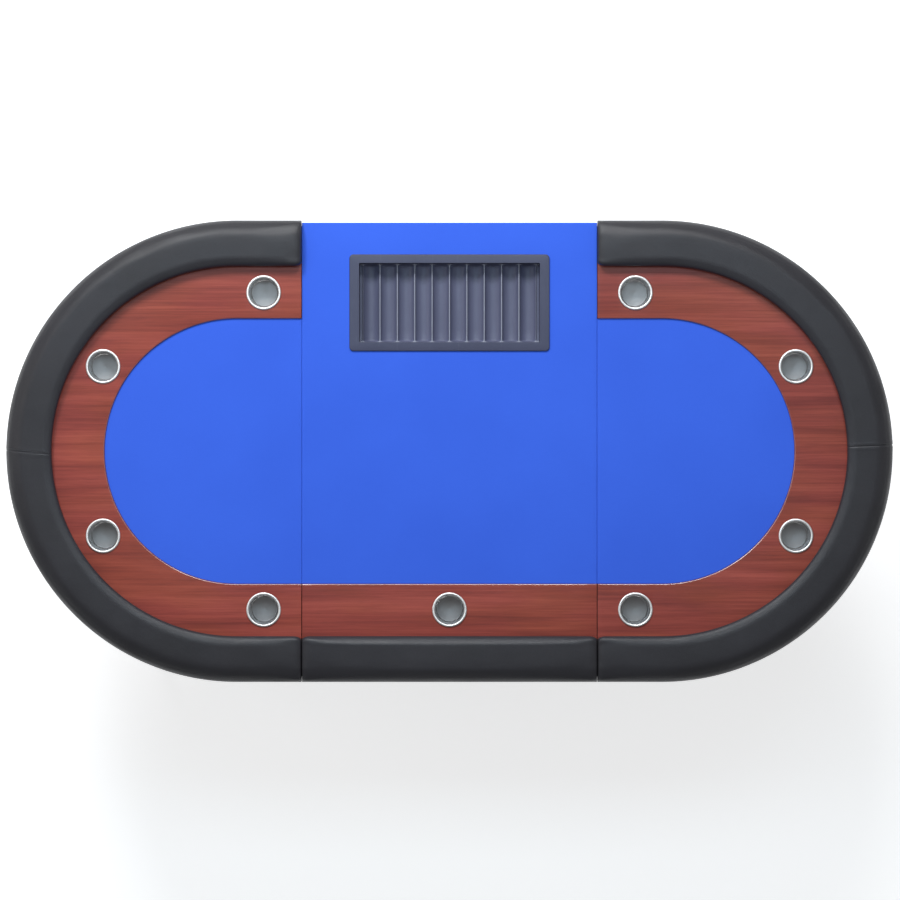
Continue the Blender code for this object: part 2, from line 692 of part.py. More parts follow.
def build_brace(name, place, frame, looks):
    """A flat bar that turns on the leg by a stud. The rider at its upper end runs in the bracket's slot."""
    outline = bar_outline((0.0, -BRACE_DOWN), (BRACE_DOWN, 0.0), BRACE_WIDTH / 2)
    middle = BRACE_IN + BRACE_THICKNESS / 2
    head = SLOT_CHEEK + BRACKET_PLATE + SIDE_GAP
    joins = [
        place.bar(STUD_R, LEG_R - STUD_REACH, middle, w=-BRACE_DOWN),
        place.bar(RIDER_R, middle, head + RIDER_HEAD, v=BRACE_DOWN),
        place.bar(RIDER_HEAD_R, head, head + RIDER_HEAD, v=BRACE_DOWN),
    ]
    make_node(f"{name}_brace", place.plate(outline, BRACE_IN, BRACE_OUT), looks["zinc"], frame, joins)


def build_legs(frames, looks):
    for wing, side in (("left", -1), ("right", 1)):
        for row, toward in (("front", -1), ("rear", 1)):
            name, place = f"{wing}_{row}", LegPlace(side, toward)
            wing_frame = frames[f"{wing}_wing"]
            leg_frame = make_frame(f"{name}_leg_pivot", place.point(0, 0, 0), wing_frame)
            brace_frame = make_frame(f"{name}_brace_pivot", place.point(BRACE_IN, 0, -BRACE_DOWN), leg_frame)
            build_bracket(name, place, wing_frame, looks)
            build_pivot_bolt(name, place, wing_frame, looks)
            build_leg_tube(name, place, leg_frame, looks)
            build_foot(name, place, leg_frame, looks)
            build_brace(name, place, brace_frame, looks)


def main():
    clear_scene()
    looks = {
        "cloth": make_material("blue_cloth", (0.045, 0.13, 0.79), 0.85),
        "veneer": make_material("mahogany_veneer", (0.26, 0.065, 0.045), 0.35),
        "leather": make_material("black_leather", (0.022, 0.022, 0.025), 0.45),
        "board": make_material("black_board", (0.03, 0.03, 0.03), 0.7),
        "cup": make_material("polished_steel", (0.72, 0.71, 0.69), 0.18, 1.0),
        "tray": make_material("grey_plastic", (0.085, 0.092, 0.15), 0.5),
        "steel": make_material("black_steel", (0.02, 0.02, 0.022), 0.4, 0.6),
        "zinc": make_material("zinc_steel", (0.55, 0.56, 0.58), 0.35, 1.0),
        "rubber": make_material("black_rubber", (0.015, 0.015, 0.015), 0.8),
    }
    centre = make_frame("centre", (0, 0, 0))
    frames = {
        "centre": centre,
        "left_wing": make_frame("left_wing_fold", (-SEAM_X, 0, UNDERSIDE - LEFT_DROP), centre),
        "right_wing": make_frame("right_wing_fold", (SEAM_X, 0, UNDERSIDE - RIGHT_DROP), centre),
        "chip_tray": make_frame("chip_tray_lift", (0, TRAY_Y, PLAY_HEIGHT), centre),
    }
    build_centre(centre, looks)
    build_wing("left", -1, frames["left_wing"], looks)
    build_wing("right", 1, frames["right_wing"], looks)
    build_cups(frames, looks["cup"])
    build_chip_tray(frames["chip_tray"], looks["tray"])
    build_hinges(frames, looks)
    build_legs(frames, looks)


main()
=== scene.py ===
import json
import math

import bmesh
import bpy
import numpy as np
from mathutils import Matrix, Vector


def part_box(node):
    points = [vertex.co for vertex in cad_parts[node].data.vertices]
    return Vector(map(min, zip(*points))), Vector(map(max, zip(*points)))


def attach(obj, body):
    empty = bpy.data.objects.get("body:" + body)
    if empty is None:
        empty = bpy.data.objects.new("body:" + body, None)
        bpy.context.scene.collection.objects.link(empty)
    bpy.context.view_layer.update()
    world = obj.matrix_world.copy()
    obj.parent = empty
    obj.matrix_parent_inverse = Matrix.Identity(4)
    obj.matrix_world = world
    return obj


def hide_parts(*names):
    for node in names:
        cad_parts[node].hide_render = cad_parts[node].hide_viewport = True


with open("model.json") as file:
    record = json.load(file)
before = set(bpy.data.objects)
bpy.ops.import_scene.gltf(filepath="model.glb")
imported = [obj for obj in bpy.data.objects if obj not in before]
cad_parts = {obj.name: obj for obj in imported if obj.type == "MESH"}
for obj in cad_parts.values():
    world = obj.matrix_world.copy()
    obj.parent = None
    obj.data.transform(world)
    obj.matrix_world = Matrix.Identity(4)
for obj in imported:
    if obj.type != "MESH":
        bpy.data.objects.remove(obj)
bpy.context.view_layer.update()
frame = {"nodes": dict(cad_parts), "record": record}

SIDES = (("left", -1), ("right", 1))
ROWS = (("front", -1), ("rear", 1))

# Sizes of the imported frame
HALF_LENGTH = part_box("right_armrest")[1].x
OUTER_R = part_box("right_armrest")[1].y
ARC_X = HALF_LENGTH - OUTER_R
RAIL_IN = -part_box("centre_armrest")[1].y
TRACK_IN = -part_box("centre_racetrack")[1].y
TRACK_OUT = -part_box("centre_racetrack")[0].y
BOARD_R = -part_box("centre_board")[0].y
WING_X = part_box("right_armrest")[0].x
CENTRE_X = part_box("centre_armrest")[1].x
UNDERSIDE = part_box("right_board")[0].z
BOARD_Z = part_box("right_board")[1].z
PLAY_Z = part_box("right_cloth")[1].z
TRACK_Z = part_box("right_racetrack")[1].z
RAIL_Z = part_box("right_armrest")[1].z
DEALER_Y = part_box("centre_cloth")[1].y
CUP_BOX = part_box("cup_centre")
TRAY_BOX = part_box("chip_tray")

RAIL_MID = (OUTER_R + RAIL_IN) / 2
STRAIGHT = ARC_X - WING_X  # length of each straight part of a wing's ring
HALF_TURN = math.pi * RAIL_MID
WING_LENGTH = 2 * STRAIGHT + HALF_TURN  # along the middle of the rail
CLEAR = 0.0003  # room between parts that lie against each other
CLOTH_R = TRACK_IN - 0.0002
TRAY_BOTTOM = TRAY_BOX[0].z + 0.0025  # lowest line of the troughs
TRAY_RIDGE = 0.0140  # height of the ridges between chips

# ---------------------------------------------------------------- materials


class Surface:
    """A procedural material, read in the row frame or in the piece's own space."""

    def __init__(self, name, **values):
        self.material = bpy.data.materials.new(name)
        self.material.use_nodes = True
        self.tree = self.material.node_tree
        self.shader = self.tree.nodes["Principled BSDF"]
        for key, value in values.items():
            self.shader.inputs[key.replace("_", " ")].default_value = value
        self.space = self.add("ShaderNodeTexCoord").outputs["Object"]

    def add(self, kind, settings=None, **inputs):
        node = self.tree.nodes.new(kind)
        for key, value in (settings or {}).items():
            setattr(node, key, value)
        for key, value in inputs.items():
            self.join(value, node.inputs[key.replace("_", " ")])
        return node

    def join(self, value, socket):
        if isinstance(value, bpy.types.NodeSocket):
            self.tree.links.new(value, socket)
        else:
            socket.default_value = value

    def math(self, operation, first, second=0.0):
        node = self.add("ShaderNodeMath", {"operation": operation})
        self.join(first, node.inputs[0])
        self.join(second, node.inputs[1])
        return node.outputs[0]

    def scaled(self, x, y, z):
        return self.add("ShaderNodeMapping", Vector=self.space, Scale=(x, y, z)).outputs[0]

    def noise(self, scale, vector=None, detail=2.0, roughness=0.5, distortion=0.0):
        node = self.add(
            "ShaderNodeTexNoise", Vector=vector or self.space, Scale=scale, Detail=detail,
            Roughness=roughness, Distortion=distortion,
        )
        return node.outputs[0]

    def voronoi(self, scale, vector=None, feature="F1", output="Distance"):
        node = self.add(
            "ShaderNodeTexVoronoi", {"feature": feature}, Vector=vector or self.space, Scale=scale
        )
        return node.outputs[output]

    def wave(self, period, axis):
        node = self.add(
            "ShaderNodeTexWave", {"bands_direction": axis},
            Vector=self.space, Scale=math.pi / (10 * period),
        )
        return node.outputs["Fac"]

    def ramp(self, factor, *stops):
        node = self.add("ShaderNodeValToRGB", Fac=factor)
        ramp = node.color_ramp
        while len(ramp.elements) < len(stops):
            ramp.elements.new(0.5)
        for element, (place, colour) in zip(ramp.elements, stops):
            element.position = place
            element.color = (*colour, 1) if len(colour) == 3 else (colour[0],) * 3 + (1,)
        return node.outputs[0]

    def range(self, factor, low, high, start=0.0, end=1.0):
        """The factor from start to end as a number from low to high."""
        node = self.add(
            "ShaderNodeMapRange", Value=factor, From_Min=start, From_Max=end, To_Min=low, To_Max=high
        )
        return node.outputs[0]

    def mix(self, factor, first, second):
        node = self.add("ShaderNodeMix", {"data_type": "RGBA"})
        self.join(factor, node.inputs["Factor"])
        self.join(first if not isinstance(first, tuple) else (*first, 1), node.inputs[6])
        self.join(second if not isinstance(second, tuple) else (*second, 1), node.inputs[7])
        return node.outputs[2]

    def colour(self, value):
        self.join(value, self.shader.inputs["Base Color"])

    def rough(self, value):
        self.join(value, self.shader.inputs["Roughness"])

    def bump(self, height, strength, distance, under=None):
        node = self.add("ShaderNodeBump", Height=height, Strength=strength, Distance=distance)
        if under is not None:
            self.join(under, node.inputs["Normal"])
        self.join(node.outputs[0], self.shader.inputs["Normal"])
        return node.outputs[0]


def leather_surface():
    """Black leatherette: fine pebbled grain, slow changes of tone and gloss."""
    s = Surface("armrest_leatherette", Specular_IOR_Level=0.40)
    tone = s.noise(5.0, detail=4.0)
    fine = s.noise(260.0, detail=2.0)
    skin = s.ramp(tone, (0.3, (0.022, 0.0205, 0.0235)), (0.7, (0.028, 0.0265, 0.031)))
    s.colour(s.mix(s.range(fine, 0.0, 0.30), skin, (0.046, 0.045, 0.052)))
    s.rough(s.range(s.noise(14.0, detail=3.0), 0.36, 0.46, 0.3, 0.7))
    creases = s.voronoi(520.0, feature="DISTANCE_TO_EDGE")
    pebbles = s.bump(s.ramp(creases, (0.0, (0.0,)), (0.22, (1.0,))), 0.35, 0.0003)
    s.bump(s.noise(22.0, detail=3.0), 0.18, 0.004, pebbles)
    return s.material


def cloth_surface():
    """Blue speed cloth: a tight plain weave with a faint slub and a soft sheen."""
    s = Surface("speed_cloth", Specular_IOR_Level=0.22, Sheen_Weight=0.05, Sheen_Roughness=0.45)
    warp, weft = s.wave(0.0011, "X"), s.wave(0.0011, "Y")
    weave = s.math("MULTIPLY", warp, weft)
    cloud = s.noise(3.2, detail=3.0)
    slub = s.noise(1.0, s.scaled(40, 900, 900), detail=2.0)
    base = s.ramp(cloud, (0.3, (0.031, 0.110, 0.67)), (0.7, (0.038, 0.128, 0.74)))
    threads = s.mix(s.range(weave, 0.0, 0.8), base, (0.056, 0.157, 0.83))
    s.colour(s.mix(s.range(slub, 0.0, 0.22, 0.35, 0.75), threads, (0.036, 0.102, 0.66)))
    s.rough(s.range(weave, 0.80, 0.68))
    weave_bump = s.bump(weave, 0.30, 0.0002)
    s.bump(cloud, 0.10, 0.003, weave_bump)
    return s.material


def veneer_surface(panel, offset, warm):
    """Reddish-brown mahogany laminate. The grain runs along the table; each panel has its own figure."""
    s = Surface(f"{panel}_veneer", Specular_IOR_Level=0.38, Coat_Weight=0.04, Coat_Roughness=0.35)
    s.space = s.add("ShaderNodeMapping", Vector=s.space, Location=(offset, offset, 0)).outputs[0]
    figure = s.noise(1.0, s.scaled(1.7, 26.0, 26.0), detail=4.0, roughness=0.55, distortion=0.6)
    streak = s.noise(1.0, s.scaled(4.0, 210.0, 210.0), detail=5.0, roughness=0.6)
    hue = s.noise(1.0, s.scaled(3.5, 11.0, 11.0), detail=2.0)
    tone = s.math("ADD", s.math("MULTIPLY", figure, 0.62), s.math("MULTIPLY", streak, 0.38))
    brown = ((0.172, 0.028, 0.017), (0.268, 0.049, 0.028), (0.372, 0.078, 0.046))
    red = ((0.176, 0.026, 0.020), (0.272, 0.046, 0.033), (0.376, 0.073, 0.052))
    shades = []
    for shade in (brown, red):
        stops = [(at, (r * warm, g, b)) for at, (r, g, b) in zip((0.34, 0.50, 0.66), shade)]
        shades.append(s.ramp(tone, *stops))
    base = s.mix(s.range(hue, 0.0, 1.0, 0.40, 0.60), *shades)
    pores = s.noise(1.0, s.scaled(30.0, 1700.0, 1700.0), detail=1.0)
    s.colour(s.mix(s.range(pores, 0.0, 0.35, 0.60, 0.72), base, (0.085, 0.020, 0.015)))
    s.rough(s.range(streak, 0.46, 0.36, 0.3, 0.7))
    s.bump(s.math("SUBTRACT", streak, s.range(pores, 0.0, 0.6, 0.60, 0.72)), 0.08, 0.0003)
    return s.material


def edge_surface():
    """The racetrack's rounded edge, under a thick coat of lacquer."""
    s = Surface(
        "racetrack_edge", Specular_IOR_Level=1.0, Coat_Weight=1.0, Coat_Roughness=0.27, Coat_IOR=1.9,
    )
    streak = s.noise(1.0, s.scaled(9.0, 90.0, 400.0), detail=4.0, roughness=0.6)
    s.colour(s.ramp(streak, (0.35, (0.21, 0.042, 0.034)), (0.65, (0.30, 0.070, 0.058))))
    s.rough(s.range(streak, 0.28, 0.36, 0.3, 0.7))
    s.bump(streak, 0.05, 0.0002)
    return s.material


def steel_surface():
    """Drawn stainless steel, spun about the piece's own Z axis. The cup's floor is painted darker than its
    wall as painted shade, and the rolled rim is painted near white as a painted highlight.
    """
    s = Surface("cup_steel", Metallic=1.0)
    tangent = s.add("ShaderNodeTangent", {"direction_type": "RADIAL", "axis": "Z"})
    s.join(tangent.outputs[0], s.shader.inputs["Tangent"])
    split = s.add("ShaderNodeSeparateXYZ", Vector=s.space)
    across = s.math("POWER", split.outputs[0], 2.0)
    radius = s.math("SQRT", s.math("ADD", across, s.math("POWER", split.outputs[1], 2.0)))
    ring_place = s.add("ShaderNodeCombineXYZ", X=radius, Y=split.outputs[2])
    rings = s.noise(900.0, ring_place.outputs[0], detail=3.0, roughness=0.7)
    smears = s.noise(55.0, detail=4.0, roughness=0.6)
    wall = s.mix(s.range(rings, 0.0, 0.5, 0.3, 0.7), (0.70, 0.69, 0.68), (0.56, 0.56, 0.57))
    floor = CUP_BOX[0].z - TRACK_Z + 0.0015
    deep = s.range(split.outputs[2], 1.0, 0.0, floor + 0.0003, floor + 0.0022)
    # painted shade: the floor and its fillet get a darker steel colour than the wall
    floor_painted_shade = s.mix(s.range(rings, 0.0, 0.7, 0.3, 0.7), (0.44, 0.43, 0.43), (0.32, 0.31, 0.31))
    spun = s.mix(deep, wall, floor_painted_shade)
    s.join(s.range(deep, 0.5, 0.12), s.shader.inputs["Anisotropic"])
    # painted highlight: the rolled rim above the racetrack is painted near white
    bead = s.range(split.outputs[2], 0.0, 1.0, -0.002, 0.001)
    s.colour(s.mix(bead, spun, (0.93, 0.91, 0.89)))
    satin = s.range(rings, 0.24, 0.32, 0.3, 0.7)
    satin = s.math("ADD", satin, s.range(smears, -0.03, 0.07, 0.35, 0.65))
    duller = s.math("ADD", s.math("MULTIPLY", bead, 0.16), s.math("MULTIPLY", deep, 0.22))
    s.rough(s.math("ADD", satin, duller))
    s.bump(rings, 0.012, 0.0002)
    return s.material


def tray_surface():
    """Satin blue-grey moulding with a fine spark-eroded texture and light scuffs. The troughs are painted
    lighter than the rim as painted light, and a thin painted highlight runs along the ridge tops.
    """
    s = Surface("tray_moulding", Specular_IOR_Level=0.45)
    cloud = s.noise(9.0, detail=3.0)
    scuffs = s.noise(1.0, s.scaled(120.0, 9.0, 30.0), detail=4.0, roughness=0.7)
    # painted light: a darker copy of the blue-grey for the rim and a lighter copy for the troughs
    rim = s.ramp(cloud, (0.3, (0.046, 0.050, 0.092)), (0.7, (0.056, 0.060, 0.108)))
    trough = s.ramp(cloud, (0.3, (0.090, 0.096, 0.156)), (0.7, (0.103, 0.109, 0.174)))
    height = s.add("ShaderNodeSeparateXYZ", Vector=s.space).outputs[2]
    ridge = TRAY_BOTTOM + TRAY_RIDGE
    base = s.mix(s.range(height, 0.0, 1.0, ridge + 0.001, ridge + 0.012), trough, rim)
    # painted highlight: a pale band along the tops of the ridges
    under = s.range(height, 0.0, 1.0, ridge - 0.0012, ridge - 0.0003)
    ridge_highlight_mask = s.math("MULTIPLY", under, s.range(height, 1.0, 0.0, ridge + 0.0002, ridge + 0.0008))
    base = s.mix(s.math("MULTIPLY", ridge_highlight_mask, 0.8), base, (0.30, 0.31, 0.37))
    s.colour(s.mix(s.range(scuffs, 0.0, 0.30, 0.6, 0.8), base, (0.125, 0.135, 0.19)))
    s.rough(s.range(scuffs, 0.44, 0.34, 0.4, 0.75))
    s.bump(s.noise(1400.0, detail=1.0), 0.25, 0.00015)
    return s.material


def board_surface():
    """The boards' black hardboard face, with faint fibres and dust."""
    s = Surface("board_hardboard", Specular_IOR_Level=0.35)
    fibres = s.noise(1.0, s.scaled(160.0, 160.0, 160.0), detail=5.0, roughness=0.7)
    dust = s.noise(4.0, detail=5.0, roughness=0.65)
    base = s.ramp(fibres, (0.35, (0.030, 0.027, 0.024)), (0.68, (0.062, 0.056, 0.050)))
    s.colour(s.mix(s.range(dust, 0.0, 0.25, 0.5, 0.8), base, (0.12, 0.11, 0.10)))
    s.rough(s.range(fibres, 0.78, 0.62, 0.3, 0.7))
    s.bump(fibres, 0.22, 0.0005)
    return s.material


def coat_surface():
    """Black powder coat: orange peel, and a little wear."""
    s = Surface("powder_coat", Specular_IOR_Level=0.5)
    peel = s.noise(420.0, detail=2.0)
    wear = s.noise(38.0, detail=6.0, roughness=0.75)
    tone = s.noise(12.0, detail=3.0)
    base = s.ramp(tone, (0.3, (0.016, 0.016, 0.017)), (0.7, (0.024, 0.024, 0.026)))
    s.colour(s.mix(s.range(wear, 0.0, 0.5, 0.68, 0.8), base, (0.075, 0.072, 0.07)))
    s.rough(s.range(wear, 0.34, 0.5, 0.3, 0.75))
    s.bump(peel, 0.28, 0.0003)
    return s.material


def zinc_surface():
    """Bright zinc plate with a spangled tone and fine scratches."""
    s = Surface("zinc_plate", Metallic=1.0)
    spangle = s.voronoi(220.0, output="Color")
    scratch = s.noise(1.0, s.scaled(300.0, 300.0, 40.0), detail=4.0)
    grey = s.add("ShaderNodeRGBToBW", Color=spangle).outputs[0]
    s.colour(s.ramp(grey, (0.2, (0.46, 0.47, 0.48)), (0.8, (0.64, 0.65, 0.66))))
    s.rough(s.range(scratch, 0.26, 0.44, 0.3, 0.7))
    s.bump(scratch, 0.08, 0.0002)
    return s.material


def rubber_surface():
    """The feet's black rubber, scuffed grey."""
    s = Surface("foot_rubber", Specular_IOR_Level=0.3)
    scuffs = s.noise(90.0, detail=5.0, roughness=0.7)
    s.colour(s.ramp(scuffs, (0.4, (0.013, 0.013, 0.013)), (0.75, (0.045, 0.043, 0.04))))
    s.rough(s.range(scuffs, 0.7, 0.88, 0.3, 0.7))
    s.bump(s.noise(600.0), 0.25, 0.0003)
    return s.material


def thread_surface():
    """Twisted dark grey thread."""
    s = Surface("seam_thread", Specular_IOR_Level=0.3)
    twist = s.noise(1600.0, detail=1.0)
    s.colour(s.ramp(twist, (0.3, (0.045, 0.045, 0.05)), (0.7, (0.10, 0.10, 0.108))))
    s.rough(s.range(twist, 0.6, 0.8))
    s.bump(twist, 0.5, 0.0002)
    return s.material


def floor_surface():
    """A pale floor that glows a little, so that it stays near white around the shadow."""
    s = Surface(
        "studio_floor", Specular_IOR_Level=0.1, Roughness=0.9,
        Emission_Color=(1, 1, 1, 1), Emission_Strength=0.62,
    )
    grain = s.noise(60.0, detail=3.0)
    s.colour(s.ramp(grain, (0.3, (0.86, 0.86, 0.86)), (0.7, (0.89, 0.89, 0.89))))
    return s.material


# ---------------------------------------------------------------- mesh tools


def link_mesh(name, shape):
    """The bmesh as an object in the scene."""
    bmesh.ops.recalc_face_normals(shape, faces=shape.faces)
    mesh = bpy.data.meshes.new(name)
    shape.to_mesh(mesh)
    shape.free()
    made = bpy.data.objects.new(name, mesh)
    bpy.context.scene.collection.objects.link(made)
    return made


def finish_mesh(name, shape, material, angle=40.0):
    """The bmesh as a smooth-shaded object with sharp edges kept."""
    bmesh.ops.remove_doubles(shape, verts=shape.verts, dist=1e-6)
    made = link_mesh(name, shape)
    made.data.shade_smooth()
    made.data.set_sharp_from_angle(angle=math.radians(angle))
    made.data.materials.append(material)
    return made


def place(piece, body, node=None, slot=None):
    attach(piece, body)
    if node:
        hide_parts(node)
    return piece


def add_piece(name, shape, material, body, node=None, slot=None, angle=40.0):
    return place(finish_mesh(name, shape, material, angle), body, node, slot)


def add_grid(shape, points, closed=True, caps=True):
    """Quads between rows of points. Rows close on themselves if closed is true; caps fill the ends."""
    rows = [[shape.verts.new(p) for p in row] for row in points]
    count = len(rows[0])
    for first, second in zip(rows, rows[1:]):
        for k in range(count if closed else count - 1):
            after = (k + 1) % count
            shape.faces.new((first[k], first[after], second[after], second[k]))
    if caps:
        shape.faces.new(rows[0])
        shape.faces.new(list(reversed(rows[-1])))
    return rows


def add_lathe(shape, profile, centre=(0, 0, 0), steps=48):
    """The profile, a list of (radius, z), turned about Z through the centre."""
    x, y, base = centre
    rows = []
    for radius, z in profile:
        count = 1 if radius < 1e-7 else steps
        turns = [2 * math.pi * k / steps for k in range(count)]
        ring = [(x + radius * math.cos(a), y + radius * math.sin(a), base + z) for a in turns]
        rows.append([shape.verts.new(p) for p in ring])
    for first, second in zip(rows, rows[1:]):
        for k in range(steps):
            corners = [first[k % len(first)], first[(k + 1) % len(first)]]
            corners += [second[(k + 1) % len(second)], second[k % len(second)]]
            corners = list(dict.fromkeys(corners))
            if len(corners) > 2:
                shape.faces.new(corners)


def add_box(shape, low, high, bevel=0.0, turn=None):
    """A block with rounded edges, turned by a matrix about the origin if one is given."""
    made = bmesh.ops.create_cube(shape, size=1.0)["verts"]
    for vert in made:
        vert.co = [high[k] if vert.co[k] > 0 else low[k] for k in range(3)]
    if bevel:
        edges = list({e for v in made for e in v.link_edges})
        made = bmesh.ops.bevel(shape, geom=edges, offset=bevel, segments=2, affect="EDGES")["verts"]
    if turn is not None:
        bmesh.ops.transform(shape, matrix=turn, verts=made)


def fillet(centre, radius, start, end, steps):
    """Points of an arc about a centre in the section plane, with angles in degrees."""
    turns = [math.radians(start + (end - start) * k / steps) for k in range(steps + 1)]
    return [(centre[0] + radius * math.cos(a), centre[1] + radius * math.sin(a)) for a in turns]


def rounded_drop(near, radius):
    """How far a rounded edge lies below its flat at a distance from its end."""
    return radius - math.sqrt(max(0.0, radius**2 - (radius - near) ** 2)) if near < radius else 0.0


def plan_centre(node):
    low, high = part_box(node)
    return ((low.x + high.x) / 2, (low.y + high.y) / 2)


# ---------------------------------------------------------------- paths round the table


def wing_path(side, spacings):
    """Stations round a wing, from the players' side to the dealer's: (x, y, out_x, out_y, distance).

    The distance runs along the middle of the rail. spacings lists it in order.
    """
    path = []
    for s in spacings:
        if s <= STRAIGHT:
            path.append((side * (WING_X + s), 0.0, 0.0, -1.0, s))
        elif s >= STRAIGHT + HALF_TURN:
            path.append((side * (WING_X + 2 * STRAIGHT + HALF_TURN - s), 0.0, 0.0, 1.0, s))
        else:
            turn = (s - STRAIGHT) / RAIL_MID
            path.append((side * ARC_X, 0.0, side * math.sin(turn), -math.cos(turn), s))
    return path


def centre_path(spacings):
    """Stations along the centre panel in the same form, from left to right."""
    return [(s - CENTRE_X, 0.0, 0.0, -1.0, s) for s in spacings]


def end_spacing(length, step, edge, edge_steps):
    """Distances from 0 to length: fine over a rounded edge at each end and even between."""
    curve = [edge * (1 - math.cos(math.pi / 2 * k / edge_steps)) for k in range(edge_steps)]
    count = max(2, round((length - 2 * edge) / step))
    inner = [edge + (length - 2 * edge) * k / count for k in range(count + 1)]
    return curve + inner + [length - c for c in reversed(curve)]


# ---------------------------------------------------------------- armrests

RAIL_EDGE = 0.020  # length over which a rail's end rounds in
RAIL_EDGE_STEPS = 8
RAIL_STEP = 0.0075
RAIL_BASE = TRACK_Z + CLEAR
RAIL_RISE = RAIL_Z - RAIL_BASE
SECTION_STEPS = 32
SQUARE_IN, SQUARE_OUT = 7.0, 3.2  # 2 is an ellipse; more is a flatter top and a tighter shoulder
CROWN = 0.0016
TUCK = 0.0050
END_IN, END_OUT, END_DOWN = 0.0085, 0.0035, 0.0095  # how far the cover is drawn in at a cut end
PUCKER, PUCKER_REACH = 0.0007, 0.028  # folds where the cover is pulled over a cut end
RIPPLE, RIPPLE_SHORT, RIPPLE_LONG = 0.0005, 0.041, 0.137  # slack of the cover on the inner bend
SEAM_GROOVE, SEAM_REACH = 0.0014, 0.03
SEAM_STEP = 0.0009
STITCH_ROW = 0.0032  # distance of each row of stitches from the joint
STITCH_PITCH, STITCH, THREAD_R = 0.0042, 0.0032, 0.00042
COVER_ANGLE = 60.0


def armrest_section():
    """(radius, z, softness) round a rail's section. Softness is how far a point may move as padding.

    The cushion is flat on top with round shoulders. Its inner foot is tucked under, and its
    outer side runs down over the board's edge to the underside.
    """
    half = (OUTER_R - RAIL_IN) / 2
    points = []
    for k in range(SECTION_STEPS + 1):
        angle = math.pi * k / SECTION_STEPS
        c, s = math.cos(angle), math.sin(angle)
        square = SQUARE_OUT if c > 0 else SQUARE_IN
        along = math.copysign(abs(c) ** (2 / square), c)
        up = max(s, 0.0) ** (2 / square)
        tuck = TUCK * max(0.0, 1 - up / 0.45) ** 2 if along < 0 else 0.0
        crown = CROWN * (1 - along**2)
        firm = 1 - 0.7 * min(1.0, max(0.0, (-along - 0.6) / 0.25))  # the inner shoulder is drawn tight
        z = RAIL_BASE + up * (RAIL_RISE - CROWN) + crown * up
        points.append((RAIL_MID + along * half + tuck, z, min(1.0, 1.6 * s) * firm))
    skirt_in = BOARD_R + 0.0004
    low = UNDERSIDE + 0.0002
    return [
        (skirt_in, RAIL_BASE, 0.0),
        (skirt_in, low, 0.0),
        (OUTER_R - 0.0035, low, 0.0),
        (OUTER_R - 0.0008, low + 0.0015, 0.0),
        (OUTER_R - 0.0002, low + 0.006, 0.0),
        (OUTER_R - 0.0002, (low + RAIL_BASE) / 2, 0.0),
        *points,
        (RAIL_IN + TUCK + 0.0020, RAIL_BASE, 0.0),
    ]


SWELL = 0.004  # the most that the stuffing pushes a cover out, from a shape smaller by as much
SWELL_STEP = 0.009
SWELL_FRAMES = 20
SMOOTHING = 12  # passes along the rail: the foam under the cover evens out its folds


def slack_section():
    """The armrest's section before it is stuffed: its padded points drawn in by SWELL."""
    section = armrest_section()
    slack = []
    for k, (r, z, soft) in enumerate(section):
        before, after = section[k - 1], section[(k + 1) % len(section)]
        run, fall = after[0] - before[0], after[1] - before[1]
        size = math.hypot(run, fall) or 1.0
        slack.append((r - fall / size * SWELL * soft, z + run / size * SWELL * soft, soft))
    return slack


def swell(name, path):
    """Blow the cover up like a stuffed skin that is held along its foot and its cut ends.

    Returns how far each point of slack_section has moved from it at each station of the path, as an
    array of rows by section by axis.
    """
    section = slack_section()
    start = np.array(armrest_points(path, section))
    rows, across, _ = start.shape
    here = np.arange(rows * across).reshape(rows, across)
    after = np.roll(here, -1, axis=1)
    quads = np.stack((here[:-1], after[:-1], after[1:], here[1:]), axis=-1).reshape(-1, 4)
    mesh = bpy.data.meshes.new(name)
    ends = [here[0].tolist(), here[-1, ::-1].tolist()]
    mesh.from_pydata(start.reshape(-1, 3).tolist(), [], quads.tolist() + ends)
    shape = bmesh.new()
    shape.from_mesh(mesh)
    skin = link_mesh(name, shape)
    bpy.data.meshes.remove(mesh)
    held = skin.vertex_groups.new(name="held")
    for i in range(rows):
        for k, (_, _, soft) in enumerate(section):
            if soft < 0.05 or i in (0, rows - 1):
                held.add([i * across + k], 1.0, "REPLACE")
    cloth = skin.modifiers.new("stuffing", "CLOTH")
    cloth.settings.quality = 5
    cloth.settings.mass = 0.3
    cloth.settings.tension_stiffness = cloth.settings.compression_stiffness = 20
    cloth.settings.bending_stiffness = 1.0
    cloth.settings.use_pressure = True
    cloth.settings.uniform_pressure_force = 4
    cloth.settings.effector_weights.gravity = 0
    cloth.settings.vertex_group_mass = "held"
    cloth.collision_settings.use_collision = False
    cloth.point_cache.frame_end = SWELL_FRAMES
    scene = bpy.context.scene
    for step in range(1, SWELL_FRAMES + 1):
        scene.frame_set(step)
    done = skin.evaluated_get(bpy.context.evaluated_depsgraph_get()).to_mesh()
    moved = np.empty(rows * across * 3)
    done.vertices.foreach_get("co", moved)
    moved = moved.reshape(start.shape) - start
    size = np.linalg.norm(moved, axis=2, keepdims=True)
    moved *= np.minimum(1.0, SWELL / np.maximum(size, 1e-9))
    bpy.data.objects.remove(skin)
    scene.frame_set(1)
    return moved


def stuffed(name, path, make_path):
    """The section to use for a cover, and what the stuffing adds at each station of its path."""
    length = path[-1][4]
    count = round(length / SWELL_STEP)
    places = [length * k / count for k in range(count + 1)]
    moved = swell(name, make_path(places))
    for _ in range(SMOOTHING):
        moved[1:-1] = (moved[:-2] + 2 * moved[1:-1] + moved[2:]) / 4
    here = [p[4] for p in path]
    added = np.empty((len(here), *moved.shape[1:]))
    for k in range(moved.shape[1]):
        for axis in range(3):
            added[:, k, axis] = np.interp(here, places, moved[:, k, axis])
    return slack_section(), added


